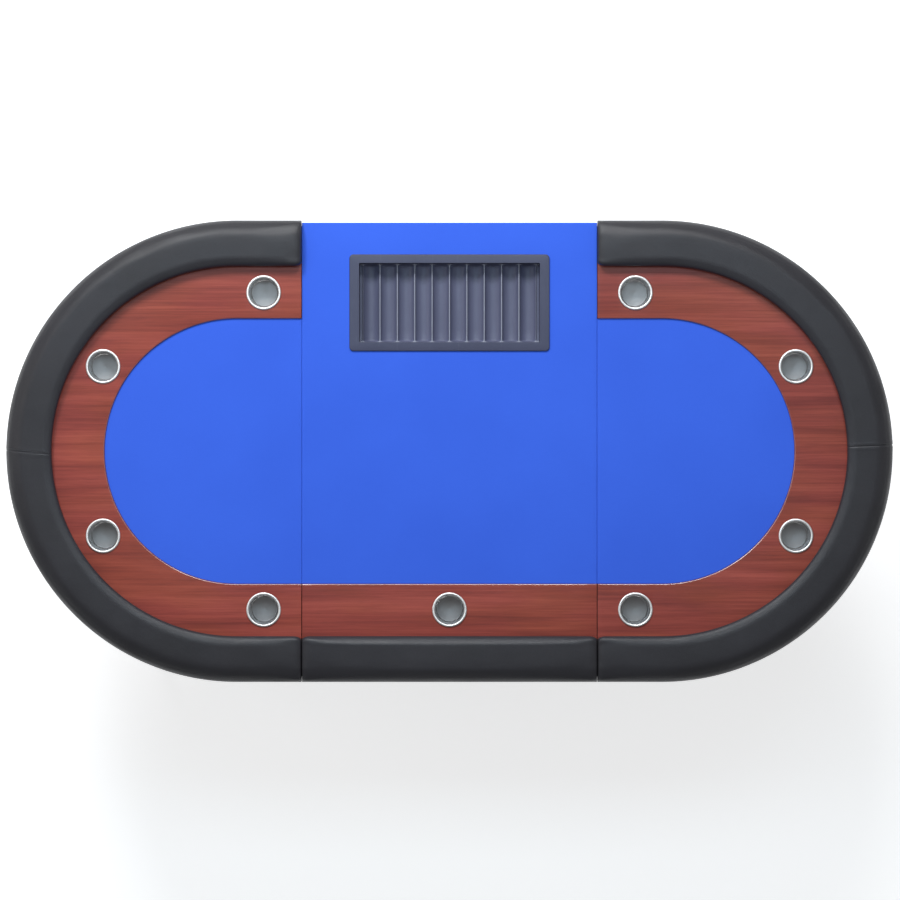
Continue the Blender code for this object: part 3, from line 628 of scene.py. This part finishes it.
def seam_dip(gap, depth):
    """How deep a sewn joint draws the cover in at a distance from it: a groove beside low swellings."""
    if gap >= SEAM_REACH:
        return 0.0
    swelling = math.exp(-(((gap - 0.006) / 0.004) ** 2))
    return depth * (math.exp(-((gap / SEAM_GROOVE) ** 2)) - 0.4 * swelling)


def armrest_points(path, section, seam=None, added=None):
    """Rows of points of one armrest, one row at each station of the path.

    seam is a sewn joint's place along the rail, its slant and its depth. added is what the
    stuffing moves each point by.
    """
    length = path[-1][4]
    rows = []
    for number, (x, y, out_x, out_y, s) in enumerate(path):
        near = min(s, length - s)
        pull = rounded_drop(near / RAIL_EDGE, 1.0)
        ripple = math.sin(s * 2 * math.pi / RIPPLE_SHORT) * math.sin(s * 2 * math.pi / RIPPLE_LONG + 1.0)
        row = []
        for k, (radius, z, soft) in enumerate(section):
            r = radius
            inner = radius < RAIL_MID
            height = (z - RAIL_BASE) / RAIL_RISE
            if z > RAIL_BASE - 1e-6:
                r += END_IN * pull * inner - END_OUT * pull * (radius > RAIL_MID) * (height > 0.05)
            if height > 0:
                z -= END_DOWN * pull * height
            fold = math.sin(height * 9.0 + radius * 260.0) * math.exp(-near / PUCKER_REACH)
            z += PUCKER * soft * fold
            if abs(out_x) > 0.05 and inner:
                r += RIPPLE * soft * ripple
            if seam and height >= 0.0:
                dip = seam_dip(abs(s - (seam[0] + seam[1] * (radius - RAIL_MID))), seam[2])
                z -= dip * min(1.0, 0.3 + soft)
                if height < 0.9:
                    r += dip * (1 if inner else -1) * (1 - height)
            more = (0, 0, 0) if added is None else added[number][k]
            row.append((x + r * out_x + more[0], y + r * out_y + more[1], z + more[2]))
        rows.append(row)
    return rows


def seam_spacing(spacing, at):
    """The spacing with fine steps put in across a sewn joint."""
    fine = [at + SEAM_STEP * k for k in range(-18, 19)]
    kept = [s for s in spacing if s < fine[0] - 0.002 or s > fine[-1] + 0.002]
    return sorted(kept + fine)


def build_cover(panel, body, spacing, make_path, leather, seam=None):
    path = make_path(spacing)
    section, added = stuffed(f"{panel}_skin", path, make_path)
    shape = bmesh.new()
    add_grid(shape, armrest_points(path, section, seam, added))
    name, node = f"{panel}_armrest_cover", f"{panel}_armrest"
    made = add_piece(name, shape, leather, body, node, "leather", COVER_ANGLE)
    return made


def build_armrests(leather, thread):
    even = end_spacing(WING_LENGTH, RAIL_STEP, RAIL_EDGE, RAIL_EDGE_STEPS)
    for wing, side in SIDES:
        # the joint sits a little off the end of the table, as the cover was cut
        off, slant, depth = (-0.003, 0.10, 0.0005) if side < 0 else (0.012, 0.02, 0.0009)
        seam = (WING_LENGTH / 2 + off, slant, depth)
        body, spacing = f"{wing}_wing", seam_spacing(even, seam[0])
        made = build_cover(wing, body, spacing, lambda places: wing_path(side, places), leather, seam)
        shape = bmesh.new()
        add_stitches(shape, made, side, seam)
        name = f"{wing}_armrest_stitches"
        add_piece(name, shape, thread, body, slot="leather", angle=COVER_ANGLE)
    spacing = end_spacing(2 * CENTRE_X, RAIL_STEP, RAIL_EDGE, RAIL_EDGE_STEPS)
    build_cover("centre", "centre", spacing, centre_path, leather)


def add_stitches(shape, cover, side, seam):
    """Two rows of lockstitch beside a sewn joint, over the top of the rail."""
    section = [p for p in armrest_section() if p[2] > 0.25]
    for row in (-STITCH_ROW, STITCH_ROW):
        line = []
        for radius, z, _ in section:
            s = seam[0] + seam[1] * (radius - RAIL_MID) + row
            x, y, out_x, out_y, _ = wing_path(side, [s])[0]
            line.append(Vector((x + radius * out_x, y + radius * out_y, z - 0.0002)))
        travel = [0.0]
        for a, b in zip(line, line[1:]):
            travel.append(travel[-1] + (b - a).length)
        for k in range(int(travel[-1] / STITCH_PITCH)):
            ends = []
            for reach in (k * STITCH_PITCH, k * STITCH_PITCH + STITCH):
                point = Vector([np.interp(reach, travel, axis) for axis in zip(*line)])
                ends.append(cover.closest_point_on_mesh(point)[1])
            add_thread(shape, *ends)


def add_thread(shape, start, end):
    """A short stitch: a six-sided rod whose ends dive into the cover."""
    along = (end - start).normalized()
    side = along.cross(Vector((0, 0, 1))).normalized()
    up = side.cross(along)
    turns = [math.pi / 3 * k for k in range(6)]
    rows = []
    shares = ((0.0, -0.0006, 0.6), (0.18, 0.0002, 1.0), (0.82, 0.0002, 1.0), (1.0, -0.0006, 0.6))
    for share, lift, size in shares:
        centre = start.lerp(end, share) + up * lift
        rows.append([centre + (side * math.cos(a) + up * math.sin(a)) * THREAD_R * size for a in turns])
    add_grid(shape, rows)


# ---------------------------------------------------------------- racetrack

TRACK_EDGE = 0.0012  # rounding of the racetrack's ends at a fold
TRACK_ROUND = 0.0030  # rounding of its inner edge


def racetrack_section():
    bottom = BOARD_Z + CLEAR
    inner = TRACK_IN + CLEAR
    return [
        (inner, bottom),
        (TRACK_OUT, bottom),
        (TRACK_OUT, TRACK_Z),
        *fillet((inner + TRACK_ROUND, TRACK_Z - TRACK_ROUND), TRACK_ROUND, 90, 180, 6),
    ]


def cut_cups(made, centres):
    """Round holes under the cup flanges."""
    mouth = CUP_BOX[1].x - 0.0045
    low, high = BOARD_Z - 0.02, TRACK_Z + 0.02
    for x, y in centres:
        shape = bmesh.new()
        add_lathe(shape, [(0, low), (mouth, low), (mouth, high), (0, high)], (x, y, 0))
        cut_with(made, finish_mesh("tool", shape, made.data.materials[0]))


def racetrack(panel, body, path, veneer, lacquer, cups):
    """A panel's piece of the racetrack, its cup holes and its rounded, lacquered inner edge."""
    shape = bmesh.new()
    rows = []
    for x, y, out_x, out_y, s in path:
        drop = rounded_drop(min(s, path[-1][4] - s), TRACK_EDGE)
        section = [(r, z - drop * (z > TRACK_Z - 0.003)) for r, z in racetrack_section()]
        rows.append([(x + r * out_x, y + r * out_y, z) for r, z in section])
    add_grid(shape, rows)
    made = finish_mesh(f"{panel}_racetrack_veneer", shape, veneer)
    cut_cups(made, cups)
    made.data.materials.append(lacquer)
    for face in made.data.polygons:
        reach = abs(face.center.x)
        from_fold = min(abs(reach - WING_X), abs(reach - CENTRE_X))
        rounded = face.center.z > TRACK_Z - TRACK_ROUND and 0.02 < face.normal.z < 0.99
        if rounded and from_fold > TRACK_EDGE:
            face.material_index = 1
    place(made, body, f"{panel}_racetrack", "veneer")


def build_racetracks():
    lacquer = edge_surface()
    for wing, side in SIDES:
        path = wing_path(side, end_spacing(WING_LENGTH, 0.012, TRACK_EDGE, 3))
        cups = [plan_centre(n) for n in sorted(frame["nodes"]) if n.startswith(f"cup_{wing}")]
        veneer = veneer_surface(wing, 3.0 * side, 1.0 - 0.025 * side)
        racetrack(wing, f"{wing}_wing", path, veneer, lacquer, cups)
    path = centre_path(end_spacing(2 * CENTRE_X, 0.05, TRACK_EDGE, 3))
    veneer = veneer_surface("centre", 0.0, 1.0)
    racetrack("centre", "centre", path, veneer, lacquer, [plan_centre("cup_centre")])


# ---------------------------------------------------------------- cloth

CLOTH_ROUND = 0.0016  # radius of the cloth's edge at a fold
CLOTH_WRAP = 0.0006  # the cloth's own thickness, drawn down over the boards' edges
DEALER_ROUND = 0.0045
CLOTH_STEPS = 24  # quads across a wing's sheet


def wing_cloth_rows(side):
    """Rows of points along Y across a wing's sheet, from the fold to the end of the table."""
    fold = WING_X - CLOTH_WRAP
    edge = fillet((fold + CLOTH_ROUND, PLAY_Z - CLOTH_ROUND), CLOTH_ROUND, 180, 90, 4)
    stations = [(fold + 0.0005, UNDERSIDE + 0.0012), (fold, UNDERSIDE + 0.002), (fold, BOARD_Z), *edge]
    stations += [(fold + 0.010 + (ARC_X - fold - 0.010) * k / 6, PLAY_Z) for k in range(7)]
    steps = 40
    turns = [math.pi / 2 * k / steps for k in range(1, steps)]
    stations += [(ARC_X + CLOTH_R * math.sin(turn), PLAY_Z) for turn in turns]
    rows = []
    for x, z in stations:
        half = CLOTH_R if x <= ARC_X else math.sqrt(CLOTH_R**2 - (x - ARC_X) ** 2)
        rows.append([(side * x, half * (2 * k / CLOTH_STEPS - 1), z) for k in range(CLOTH_STEPS + 1)])
    return rows


def build_wing_cloths(cloth):
    """Each wing's sheet: flat to the racetrack, rounded at the fold and wrapped down the board's edge."""
    for wing, side in SIDES:
        shape = bmesh.new()
        rows = wing_cloth_rows(side)
        top = add_grid(shape, rows, closed=False, caps=False)
        low = BOARD_Z + CLEAR
        foot = []
        # the wrap stands clear of the board by its back face; the rest stands on the board
        for row, line in zip(rows, top):
            x, z = row[0][0], row[0][2]
            if abs(x) < WING_X:
                back = (side * (WING_X - 0.0001), min(z, low))
            else:
                back = (x, low)
            foot.append([shape.verts.new((back[0], p[1], back[1])) for p in row])
        for a, b in zip(foot, foot[1:]):
            for k in range(CLOTH_STEPS):
                shape.faces.new((a[k + 1], a[k], b[k], b[k + 1]))
        rims = [([r[end] for r in top], [r[end] for r in foot]) for end in (0, -1)]
        rims += [(top[end], foot[end]) for end in (0, -1)]
        for upper, lower in rims:
            for k in range(len(upper) - 1):
                shape.faces.new((upper[k], upper[k + 1], lower[k + 1], lower[k]))
        made = add_piece(f"{wing}_cloth_top", shape, cloth, f"{wing}_wing", f"{wing}_cloth", "cloth")


def centre_cloth_section():
    """(y, z) round the centre sheet, from its foot beside the racetrack to the dealer's edge and back."""
    near, far = -CLOTH_R, DEALER_Y
    inside = far - 0.0039
    return [
        (near, BOARD_Z + CLEAR),
        (near, PLAY_Z),
        *[(near + (far - DEALER_ROUND - near) * k / 8, PLAY_Z) for k in range(1, 8)],
        *fillet((far - DEALER_ROUND, PLAY_Z - DEALER_ROUND), DEALER_ROUND, 90, 0, 6),
        (far, UNDERSIDE + 0.0012),
        (far - 0.0012, UNDERSIDE + 0.0001),
        (inside, UNDERSIDE + 0.0001),
        (inside, BOARD_Z + CLEAR),
    ]


def build_centre_cloth(cloth):
    """The centre sheet: rounded at both folds and wrapped round the dealer's edge."""
    half = CENTRE_X + CLOTH_WRAP
    turns = [math.pi / 2 * k / 4 for k in reversed(range(4))]
    edge = [(CLOTH_ROUND * (1 - math.sin(t)), CLOTH_ROUND * (1 - math.cos(t))) for t in turns]
    edge = [(0.0, CLOTH_ROUND)] + edge
    stations = [(-half + inset, drop) for inset, drop in edge]
    stations += [(-half + 0.01 + (2 * half - 0.02) * k / 12, 0.0) for k in range(13)]
    stations += [(half - inset, drop) for inset, drop in reversed(edge)]
    rows = []
    for x, drop in stations:
        row = []
        for y, z in centre_cloth_section():
            row.append((x, y - drop * (y > DEALER_Y - DEALER_ROUND), z - drop * (z > PLAY_Z - 0.003)))
        rows.append(row)
    shape = bmesh.new()
    add_grid(shape, rows)
    made = finish_mesh("centre_cloth_top", shape, cloth)
    cut_with(made, tray_well_tool(cloth))
    place(made, "centre", "centre_cloth", "cloth")
    for wing, side in SIDES:
        shape = bmesh.new()
        xs = sorted((side * (CENTRE_X + 0.0001), side * half))
        low = (xs[0], -CLOTH_R, UNDERSIDE + 0.0014)
        high = (xs[1], DEALER_Y - 0.008, PLAY_Z - CLOTH_ROUND - 0.0002)
        add_box(shape, low, high, 0.0002)
        add_piece(f"centre_cloth_wrap_{wing}", shape, cloth, "centre", slot="cloth")


def cut_with(made, tool):
    """Take the tool's shape out of the piece, as a plain mesh."""
    cut = made.modifiers.new("cut", "BOOLEAN")
    cut.operation, cut.solver, cut.object = "DIFFERENCE", "EXACT", tool
    graph = bpy.context.evaluated_depsgraph_get()
    mesh = bpy.data.meshes.new_from_object(made.evaluated_get(graph))
    made.modifiers.clear()
    made.data = mesh
    bpy.data.objects.remove(tool)
    made.data.set_sharp_from_angle(angle=math.radians(40))


def tray_well_tool(material):
    low, high = tray_well()
    shape = bmesh.new()
    add_box(shape, (low.x, low.y, UNDERSIDE - 0.02), (high.x, high.y, PLAY_Z + 0.02))
    return finish_mesh("tool", shape, material)


# ---------------------------------------------------------------- fold edges

TAPE = 0.00055  # thickness


def build_edge_tapes(board):
    """Black edge tape on each fold edge, beside the cloth's wrap."""
    for wing, side in SIDES:
        for body, face, out in ((f"{wing}_wing", WING_X, -1), ("centre", CENTRE_X, 1)):
            for end, low, high in (("front", -BOARD_R, -TRACK_IN), ("rear", TRACK_IN, BOARD_R)):
                if body == "centre" and end == "rear":
                    continue
                xs = sorted((side * (face + out * 0.0001), side * (face + out * TAPE)))
                shape = bmesh.new()
                foot = (xs[0], low + 0.0005, UNDERSIDE + 0.001)
                add_box(shape, foot, (xs[1], high - 0.0005, BOARD_Z + 0.0045), 0.0002)
                add_piece(f"{body}_{wing}_{end}_edge_tape", shape, board, body, slot="board")


# ---------------------------------------------------------------- chip tray

RIM_SIDE = 0.0245
RIM_END = 0.022
ROWS_OF_CHIPS = 10
TROUGH_MARGIN = 0.006  # from the end rows to the tray's wall
TROUGH_ROUND = 0.0055  # where the troughs turn up at their ends
TRAY_WALL = 0.004
TRAY_GAP = 0.001
TRAY_FOOT = PLAY_Z + CLEAR


def tray_well():
    inset = Vector((RIM_SIDE - TRAY_WALL - TRAY_GAP, RIM_END - TRAY_WALL - TRAY_GAP, 0))
    return TRAY_BOX[0] + inset, TRAY_BOX[1] - inset


def tray_loop(low, high, inset, z, radius):
    """Points of a rounded rectangle at a height, anticlockwise."""
    left, right = low[0] + inset + radius, high[0] - inset - radius
    near, far = low[1] + inset + radius, high[1] - inset - radius
    points = []
    steps = 6
    for quarter, (x, y) in enumerate(((right, far), (left, far), (left, near), (right, near))):
        for k in range(steps + 1):
            turn = (quarter + k / steps) * math.pi / 2
            points.append((x + radius * math.cos(turn), y + radius * math.sin(turn), z))
    return points


def trough_stations(low, high):
    """(x, height over the bottom) across all the rows: round bottoms and narrow rounded ridges."""
    pitch = (high - low) / ROWS_OF_CHIPS
    radius = pitch / 2
    lip = 0.0006
    steep = math.acos(1 - (TRAY_RIDGE - lip) / radius)
    turns = [steep * (k / 9 - 1) for k in range(19)]
    arc = [(radius * math.sin(a), radius * (1 - math.cos(a))) for a in turns]
    half = arc[-1][0]
    flank = [(half + 0.0002, TRAY_RIDGE - 0.0002), (half + 0.0005, TRAY_RIDGE)]
    row = [(-x, z) for x, z in reversed(flank)] + arc + flank
    return [(low + pitch * (n + 0.5) + x, z) for n in range(ROWS_OF_CHIPS) for x, z in row]


def tray_floor(shape, low, high):
    """The rows that hold the chips, closed by a curved end at each side."""
    shoulder = TRAY_RIDGE - 0.0030  # the strips beside the end rows
    start, end = low[0] + TROUGH_MARGIN, high[0] - TROUGH_MARGIN
    stations = [(low[0], shoulder), (start - 0.0012, shoulder), *trough_stations(start, end)]
    stations += [(end + 0.0012, shoulder), (high[0], shoulder)]
    ends = [TROUGH_ROUND * (1 - math.cos(math.pi / 2 * k / 7)) for k in range(8)]
    ys = [low[1] + e for e in ends] + [low[1] + 0.03, (low[1] + high[1]) / 2, high[1] - 0.03]
    ys += [high[1] - e for e in reversed(ends)]
    grid = []
    for y in ys:
        lift = 2.5 * rounded_drop(min(y - low[1], high[1] - y), TROUGH_ROUND)
        grid.append([(x, y, TRAY_BOTTOM + max(z, min(TRAY_RIDGE, z + lift))) for x, z in stations])
    add_grid(shape, grid, closed=False, caps=False)


def build_tray(plastic):
    low, high = TRAY_BOX
    top = high.z
    hole_low = (low.x + RIM_SIDE, low.y + RIM_END)
    hole_high = (high.x - RIM_SIDE, high.y - RIM_END)
    shape = bmesh.new()
    # rim, from its foot over a rounded outer and inner edge and down the wall
    outer = [(0.0, TRAY_FOOT), *fillet((0.0022, top - 0.0022), 0.0022, 180, 90, 5)]
    loops = [tray_loop(low, high, inset, z, 0.0095 - inset) for inset, z in outer]
    inner = fillet((0.0020, top - 0.0020), 0.0020, 90, 0, 5)
    inner += [(0.0, TRAY_BOTTOM + TRAY_RIDGE - 0.0005), (0.0, TRAY_BOTTOM + 0.0005)]
    loops += [tray_loop(hole_low, hole_high, -outset, z, 0.0012 + outset) for outset, z in inner]
    add_grid(shape, loops, caps=False)
    tray_floor(shape, hole_low, hole_high)
    # the pan seen from below
    pan = [(TRAY_GAP, TRAY_FOOT + 0.001), (TRAY_GAP, low.z + 0.003)]
    pan += [(TRAY_GAP + 0.0009, low.z + 0.0009), (TRAY_GAP + 0.003, low.z)]
    loops = [tray_loop(*tray_well(), inset, z, 0.003) for inset, z in pan]
    rows = add_grid(shape, loops, caps=False)
    shape.faces.new(rows[-1])
    add_piece("chip_tray_moulding", shape, plastic, "chip_tray", "chip_tray", "tray", 50.0)


# ---------------------------------------------------------------- cup holders


def cup_profile():
    """(radius, z) from the middle of a cup's floor up its inside, over its rolled rim and down outside.

    z is 0 at the racetrack.
    """
    flange = (CUP_BOX[1].x - CUP_BOX[0].x) / 2
    depth = TRACK_Z - CUP_BOX[0].z
    crown = CUP_BOX[1].z - TRACK_Z
    mouth = flange - 0.0067
    floor = flange - 0.0092
    up = -depth + 0.0012
    bead, roll = (flange + mouth) / 2, (flange - mouth) / 2
    turns = [math.pi * (1 - k / 16) for k in range(1, 16)]
    return [
        (0.0, up),
        (0.0040, up),
        (0.0052, up + 0.0003),
        (floor - 0.0050, up + 0.0003),
        *fillet((floor - 0.0028, up + 0.0031), 0.0028, 270, 357, 6),
        (mouth - 0.0006, -0.006),
        *[(bead + roll * math.cos(a), crown * math.sin(a) ** 0.8) for a in turns],
        (flange - 0.0006, 0.0003),
        (mouth + 0.0012, 0.0004),
        (mouth + 0.0008, -0.006),
        (floor + 0.0012, -depth + 0.006),
        (floor - 0.0032, -depth),
        (0.0, -depth),
    ]


def build_cups(steel):
    bodies = frame["record"]["behaviour"]["bodies"]
    owner = {n: body for body, nodes in bodies.items() for n in nodes}
    for node in sorted(n for n in frame["nodes"] if n.startswith("cup_")):
        shape = bmesh.new()
        add_lathe(shape, cup_profile(), steps=72)
        made = finish_mesh(f"{node}_steel", shape, steel, 32.0)
        made.location = (*plan_centre(node), TRACK_Z)
        place(made, owner[node], node, "cup")


# ---------------------------------------------------------------- under the table


HEM_WIDTH = 0.024
HEM = 0.0008  # thickness of the cover folded under the board
HEM_Z = UNDERSIDE - HEM
HEM_TOP = UNDERSIDE - 0.0001
STAPLE_STEP = 0.045
HEM_STEP = STAPLE_STEP / 5
SCREW_R = 0.0042
HINGE_Z = UNDERSIDE - CLEAR - 0.0025
BRACKET_Z = UNDERSIDE - CLEAR - 0.0020


def screw_head(shape, x, y, z):
    """A pan head that faces down, with a round recess in its middle."""
    profile = [
        (0.0, -0.22), (0.16, -0.30), (0.30, -0.56), (0.55, -0.54), (0.85, -0.38), (1.0, -0.12), (1.0, 0.0),
    ]
    add_lathe(shape, [(r * SCREW_R, h * SCREW_R) for r, h in profile], (x, y, z), 20)


def finish_hardware(board, coat, zinc, rubber):
    """Materials for the nodes that stay as they are, and slightly broken edges on pressed steel."""
    looks = {
        "_board": board, "_rail_core": board, "_leaf": coat, "_bracket": coat, "_leg_tube": coat,
        "_pin": zinc, "_bolt": zinc, "_brace": zinc, "_foot": rubber,
    }
    for node, made in frame["nodes"].items():
        look = next((look for end, look in looks.items() if node.endswith(end)), None)
        if look is None:
            continue
        for slot in made.material_slots:
            slot.material = look
        if node.endswith(("_leaf", "_bracket", "_pin", "_bolt", "_brace")):
            bevel = made.modifiers.new("edges", "BEVEL")
            bevel.width, bevel.segments, bevel.limit_method = 0.0004, 2, "ANGLE"
            bevel.angle_limit = math.radians(50)


def staple(shape, x, y, turn):
    """The crown of a staple, pressed into the folded cover."""
    spin = Matrix.Translation((x, y, HEM_Z)) @ Matrix.Rotation(turn, 4, "Z")
    add_box(shape, (-0.0046, -0.0005, -0.0004), (0.0046, 0.0005, 0.0002), 0.0002, spin)


def hem(name, body, path, cover, zinc):
    """The armrest's cover folded under the board along the path, and its staples."""
    inner, outer = BOARD_R - HEM_WIDTH, OUTER_R - 0.0042
    shape = bmesh.new()
    rows = []
    for x, y, out_x, out_y, s in path:
        # the cut edge wanders a little and the fold is pulled down between staples
        edge = inner + 0.0014 * math.sin(s * 31.0) * math.sin(s * 12.7 + 0.6)
        puff = 0.0005 * (0.5 - 0.5 * math.cos(2 * math.pi * s / STAPLE_STEP))
        section = [(edge, HEM_TOP), (edge, HEM_Z), (edge + 0.004, HEM_Z), (inner + 0.011, HEM_Z)]
        section += [(outer - 0.006, HEM_Z - puff), (outer, HEM_Z - puff * 0.5)]
        section += [(outer + 0.0008, HEM_Z + 0.0004), (outer + 0.0008, HEM_TOP)]
        rows.append([(x + r * out_x, y + r * out_y, z) for r, z in section])
    add_grid(shape, rows)
    add_piece(f"{name}_hem", shape, cover, body, slot="leather", angle=50.0)
    shape = bmesh.new()
    reach = inner + 0.0105
    for x, y, out_x, out_y, s in path[2:-2]:
        if abs(s / STAPLE_STEP - round(s / STAPLE_STEP)) * STAPLE_STEP < HEM_STEP / 2:
            turn = math.atan2(out_y, out_x) + math.pi / 2 + 0.16 * math.sin(s * 57.0)
            staple(shape, x + reach * out_x, y + reach * out_y, turn)
    add_piece(f"{name}_staples", shape, zinc, body, slot="zinc", angle=30.0)


def build_hems(leather, cloth, zinc):
    count = int(WING_LENGTH / HEM_STEP)
    for wing, side in SIDES:
        path = wing_path(side, [k * HEM_STEP for k in range(count + 1)])
        hem(f"{wing}_armrest", f"{wing}_wing", path, leather, zinc)
    count = int(2 * CENTRE_X / HEM_STEP)
    start = -count * HEM_STEP / 2
    path = [(k * HEM_STEP + start, 0.0, 0.0, -1.0, k * HEM_STEP) for k in range(count + 1)]
    hem("centre_armrest", "centre", path, leather, zinc)
    # the centre cloth is folded under the dealer's edge in the same way
    near, far = DEALER_Y - 0.030, DEALER_Y - 0.0013
    section = [(near, HEM_TOP), (near, HEM_Z), (far - 0.0012, HEM_Z), (far, HEM_Z + 0.0004), (far, HEM_TOP)]
    rows = []
    for x, *_ in path:
        rows.append([(x, y + 0.0010 * math.sin(x * 37.0) * (y == near), z) for y, z in section])
    shape = bmesh.new()
    add_grid(shape, rows)
    add_piece("centre_cloth_hem", shape, cloth, "centre", slot="cloth", angle=50.0)
    shape = bmesh.new()
    for x, *_, s in path[2:-2:5]:
        staple(shape, x, near + 0.011, 0.2 * math.sin(s * 41.0))
    add_piece("centre_cloth_staples", shape, zinc, "centre", slot="zinc", angle=30.0)


def build_screws(zinc):
    """Pan-head screws that hold the hinge leaves and the leg brackets to the boards."""
    heads = {body: bmesh.new() for body in ("left_wing", "centre", "right_wing")}
    for wing, side in SIDES:
        seam = side * (WING_X + CENTRE_X) / 2
        for row, toward in ROWS:
            for leaf, body, out in (("centre", "centre", -1), ("wing", f"{wing}_wing", 1)):
                _, middle = plan_centre(f"{wing}_{row}_hinge_{leaf}_leaf")
                for k, reach in enumerate((0.030, 0.020, 0.020, 0.030)):
                    y = middle + 0.028 * (k - 1.5)
                    screw_head(heads[body], seam + side * out * reach, y, HINGE_Z)
            low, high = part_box(f"{wing}_{row}_leg_bracket")
            x = (low.x if side > 0 else high.x) + side * 0.0070
            start = high.y if toward > 0 else low.y
            for reach in (0.022, 0.090, 0.160, 0.232):
                screw_head(heads[f"{wing}_wing"], x, start - toward * reach, BRACKET_Z)
    for body, shape in heads.items():
        add_piece(f"{body}_screws", shape, zinc, body, slot="zinc", angle=35.0)


def build_legs(coat, rubber):
    """Each leg's steel tube, open at both ends, and its ribbed rubber foot."""
    wall = 0.0015
    for name in (f"{wing}_{row}" for wing, _ in SIDES for row, _ in ROWS):
        low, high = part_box(f"{name}_leg_tube")
        x, y = plan_centre(f"{name}_leg_tube")
        radius = (high.x - low.x) / 2
        shape = bmesh.new()
        add_lathe(shape, [
            (radius - wall, low.z + 0.001), (radius, low.z + 0.001), (radius, high.z - 0.0006),
            (radius - 0.0006, high.z), (radius - wall, high.z), (radius - wall, low.z + 0.001),
        ], (x, y, 0))
        add_piece(f"{name}_leg_steel", shape, coat, f"{name}_leg", f"{name}_leg_tube", "steel")
        low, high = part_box(f"{name}_foot")
        foot_r, waist = (high.x - low.x) / 2, (high.x - low.x) / 2 - 0.0008
        height = high.z - low.z
        profile = [(0.0, 0.0), (foot_r - 0.003, 0.0), (waist, 0.0008), (foot_r, 0.003), (foot_r, 0.008)]
        for z in (0.0105 + 0.0055 * k for k in range(4)):
            profile += [(foot_r, z), (waist, z + 0.0006), (waist, z + 0.0022), (foot_r, z + 0.0028)]
        profile += [(foot_r, height - 0.0015), (foot_r - 0.0012, height)]
        profile += [(radius + 0.0002, height), (radius + 0.0002, height - 0.01)]
        shape = bmesh.new()
        add_lathe(shape, profile, (x, y, low.z))
        add_piece(f"{name}_foot_rubber", shape, rubber, f"{name}_leg", f"{name}_foot", "rubber", 35.0)


# ---------------------------------------------------------------- studio

FLOOR_REACH = 14.0
CAMERA_HEIGHT = 9.01  # over the racetrack
CAMERA_LENS = 153.6  # mm, on a sensor 36 mm wide


def build_studio():
    """Floor, world light, five lamps and the camera straight above the table."""
    shape = bmesh.new()
    corners = [(x * FLOOR_REACH, y * FLOOR_REACH) for x, y in ((-1, -1), (1, -1), (1, 1), (-1, 1))]
    shape.faces.new([shape.verts.new((x, y, -0.0005)) for x, y in corners])
    floor = finish_mesh("floor", shape, floor_surface())
    world = bpy.data.worlds.new("studio")
    world.use_nodes = True
    bpy.context.scene.world = world
    background = world.node_tree.nodes["Background"]
    background.inputs[0].default_value = (0.94, 0.97, 1.0, 1)
    background.inputs[1].default_value = 0.22

    def lamp(name, where, aim, width, height, power, tint):
        data = bpy.data.lights.new(name, "AREA")
        data.shape = "RECTANGLE"
        data.size, data.size_y = width, height
        data.energy = power
        data.color = tint
        made = bpy.data.objects.new(name, data)
        made.location = where
        made.rotation_mode = "QUATERNION"
        made.rotation_quaternion = (Vector(aim) - Vector(where)).to_track_quat("-Z", "Y")
        bpy.context.scene.collection.objects.link(made)

    lamp("key_left", (-1.5, 3.0, 3.4), (-0.1, 0.1, 0.75), 1.0, 1.0, 98, (0.95, 0.98, 1.0))
    lamp("key_right", (0.45, 3.1, 3.5), (0.1, 0.1, 0.75), 1.0, 1.0, 66, (0.97, 0.98, 1.0))
    lamp("sky", (-0.1, 0.95, 3.7), (-0.1, 0.75, 0.75), 3.0, 0.8, 27, (0.70, 0.88, 1.0))
    lamp("left", (-3.3, 0.5, 2.6), (-0.4, 0, 0.75), 1.4, 2.0, 13, (1.0, 0.98, 0.95))
    lamp("right", (3.4, -0.4, 2.8), (0.2, 0, 0.75), 1.4, 2.0, 4, (1.0, 0.98, 0.96))

    data = bpy.data.cameras.new("camera")
    data.sensor_width = 36.0
    data.lens = CAMERA_LENS
    data.clip_start, data.clip_end = 0.1, 60.0
    camera = bpy.data.objects.new("camera", data)
    camera.location = (0.0012, 0.0028, TRACK_Z + CAMERA_HEIGHT)
    camera.rotation_mode = "QUATERNION"
    camera.rotation_quaternion = (1, 0, 0, 0)
    bpy.context.scene.collection.objects.link(camera)
    bpy.context.scene.camera = camera
    bpy.context.scene.view_settings.view_transform = "Standard"


def main():
    build_studio()
    leather, cloth = leather_surface(), cloth_surface()
    board, coat, zinc, rubber = board_surface(), coat_surface(), zinc_surface(), rubber_surface()
    build_armrests(leather, thread_surface())
    build_racetracks()
    build_wing_cloths(cloth)
    build_centre_cloth(cloth)
    build_edge_tapes(board)
    build_tray(tray_surface())
    build_cups(steel_surface())
    finish_hardware(board, coat, zinc, rubber)
    build_hems(leather, cloth, zinc)
    build_screws(zinc)
    build_legs(coat, rubber)


main()
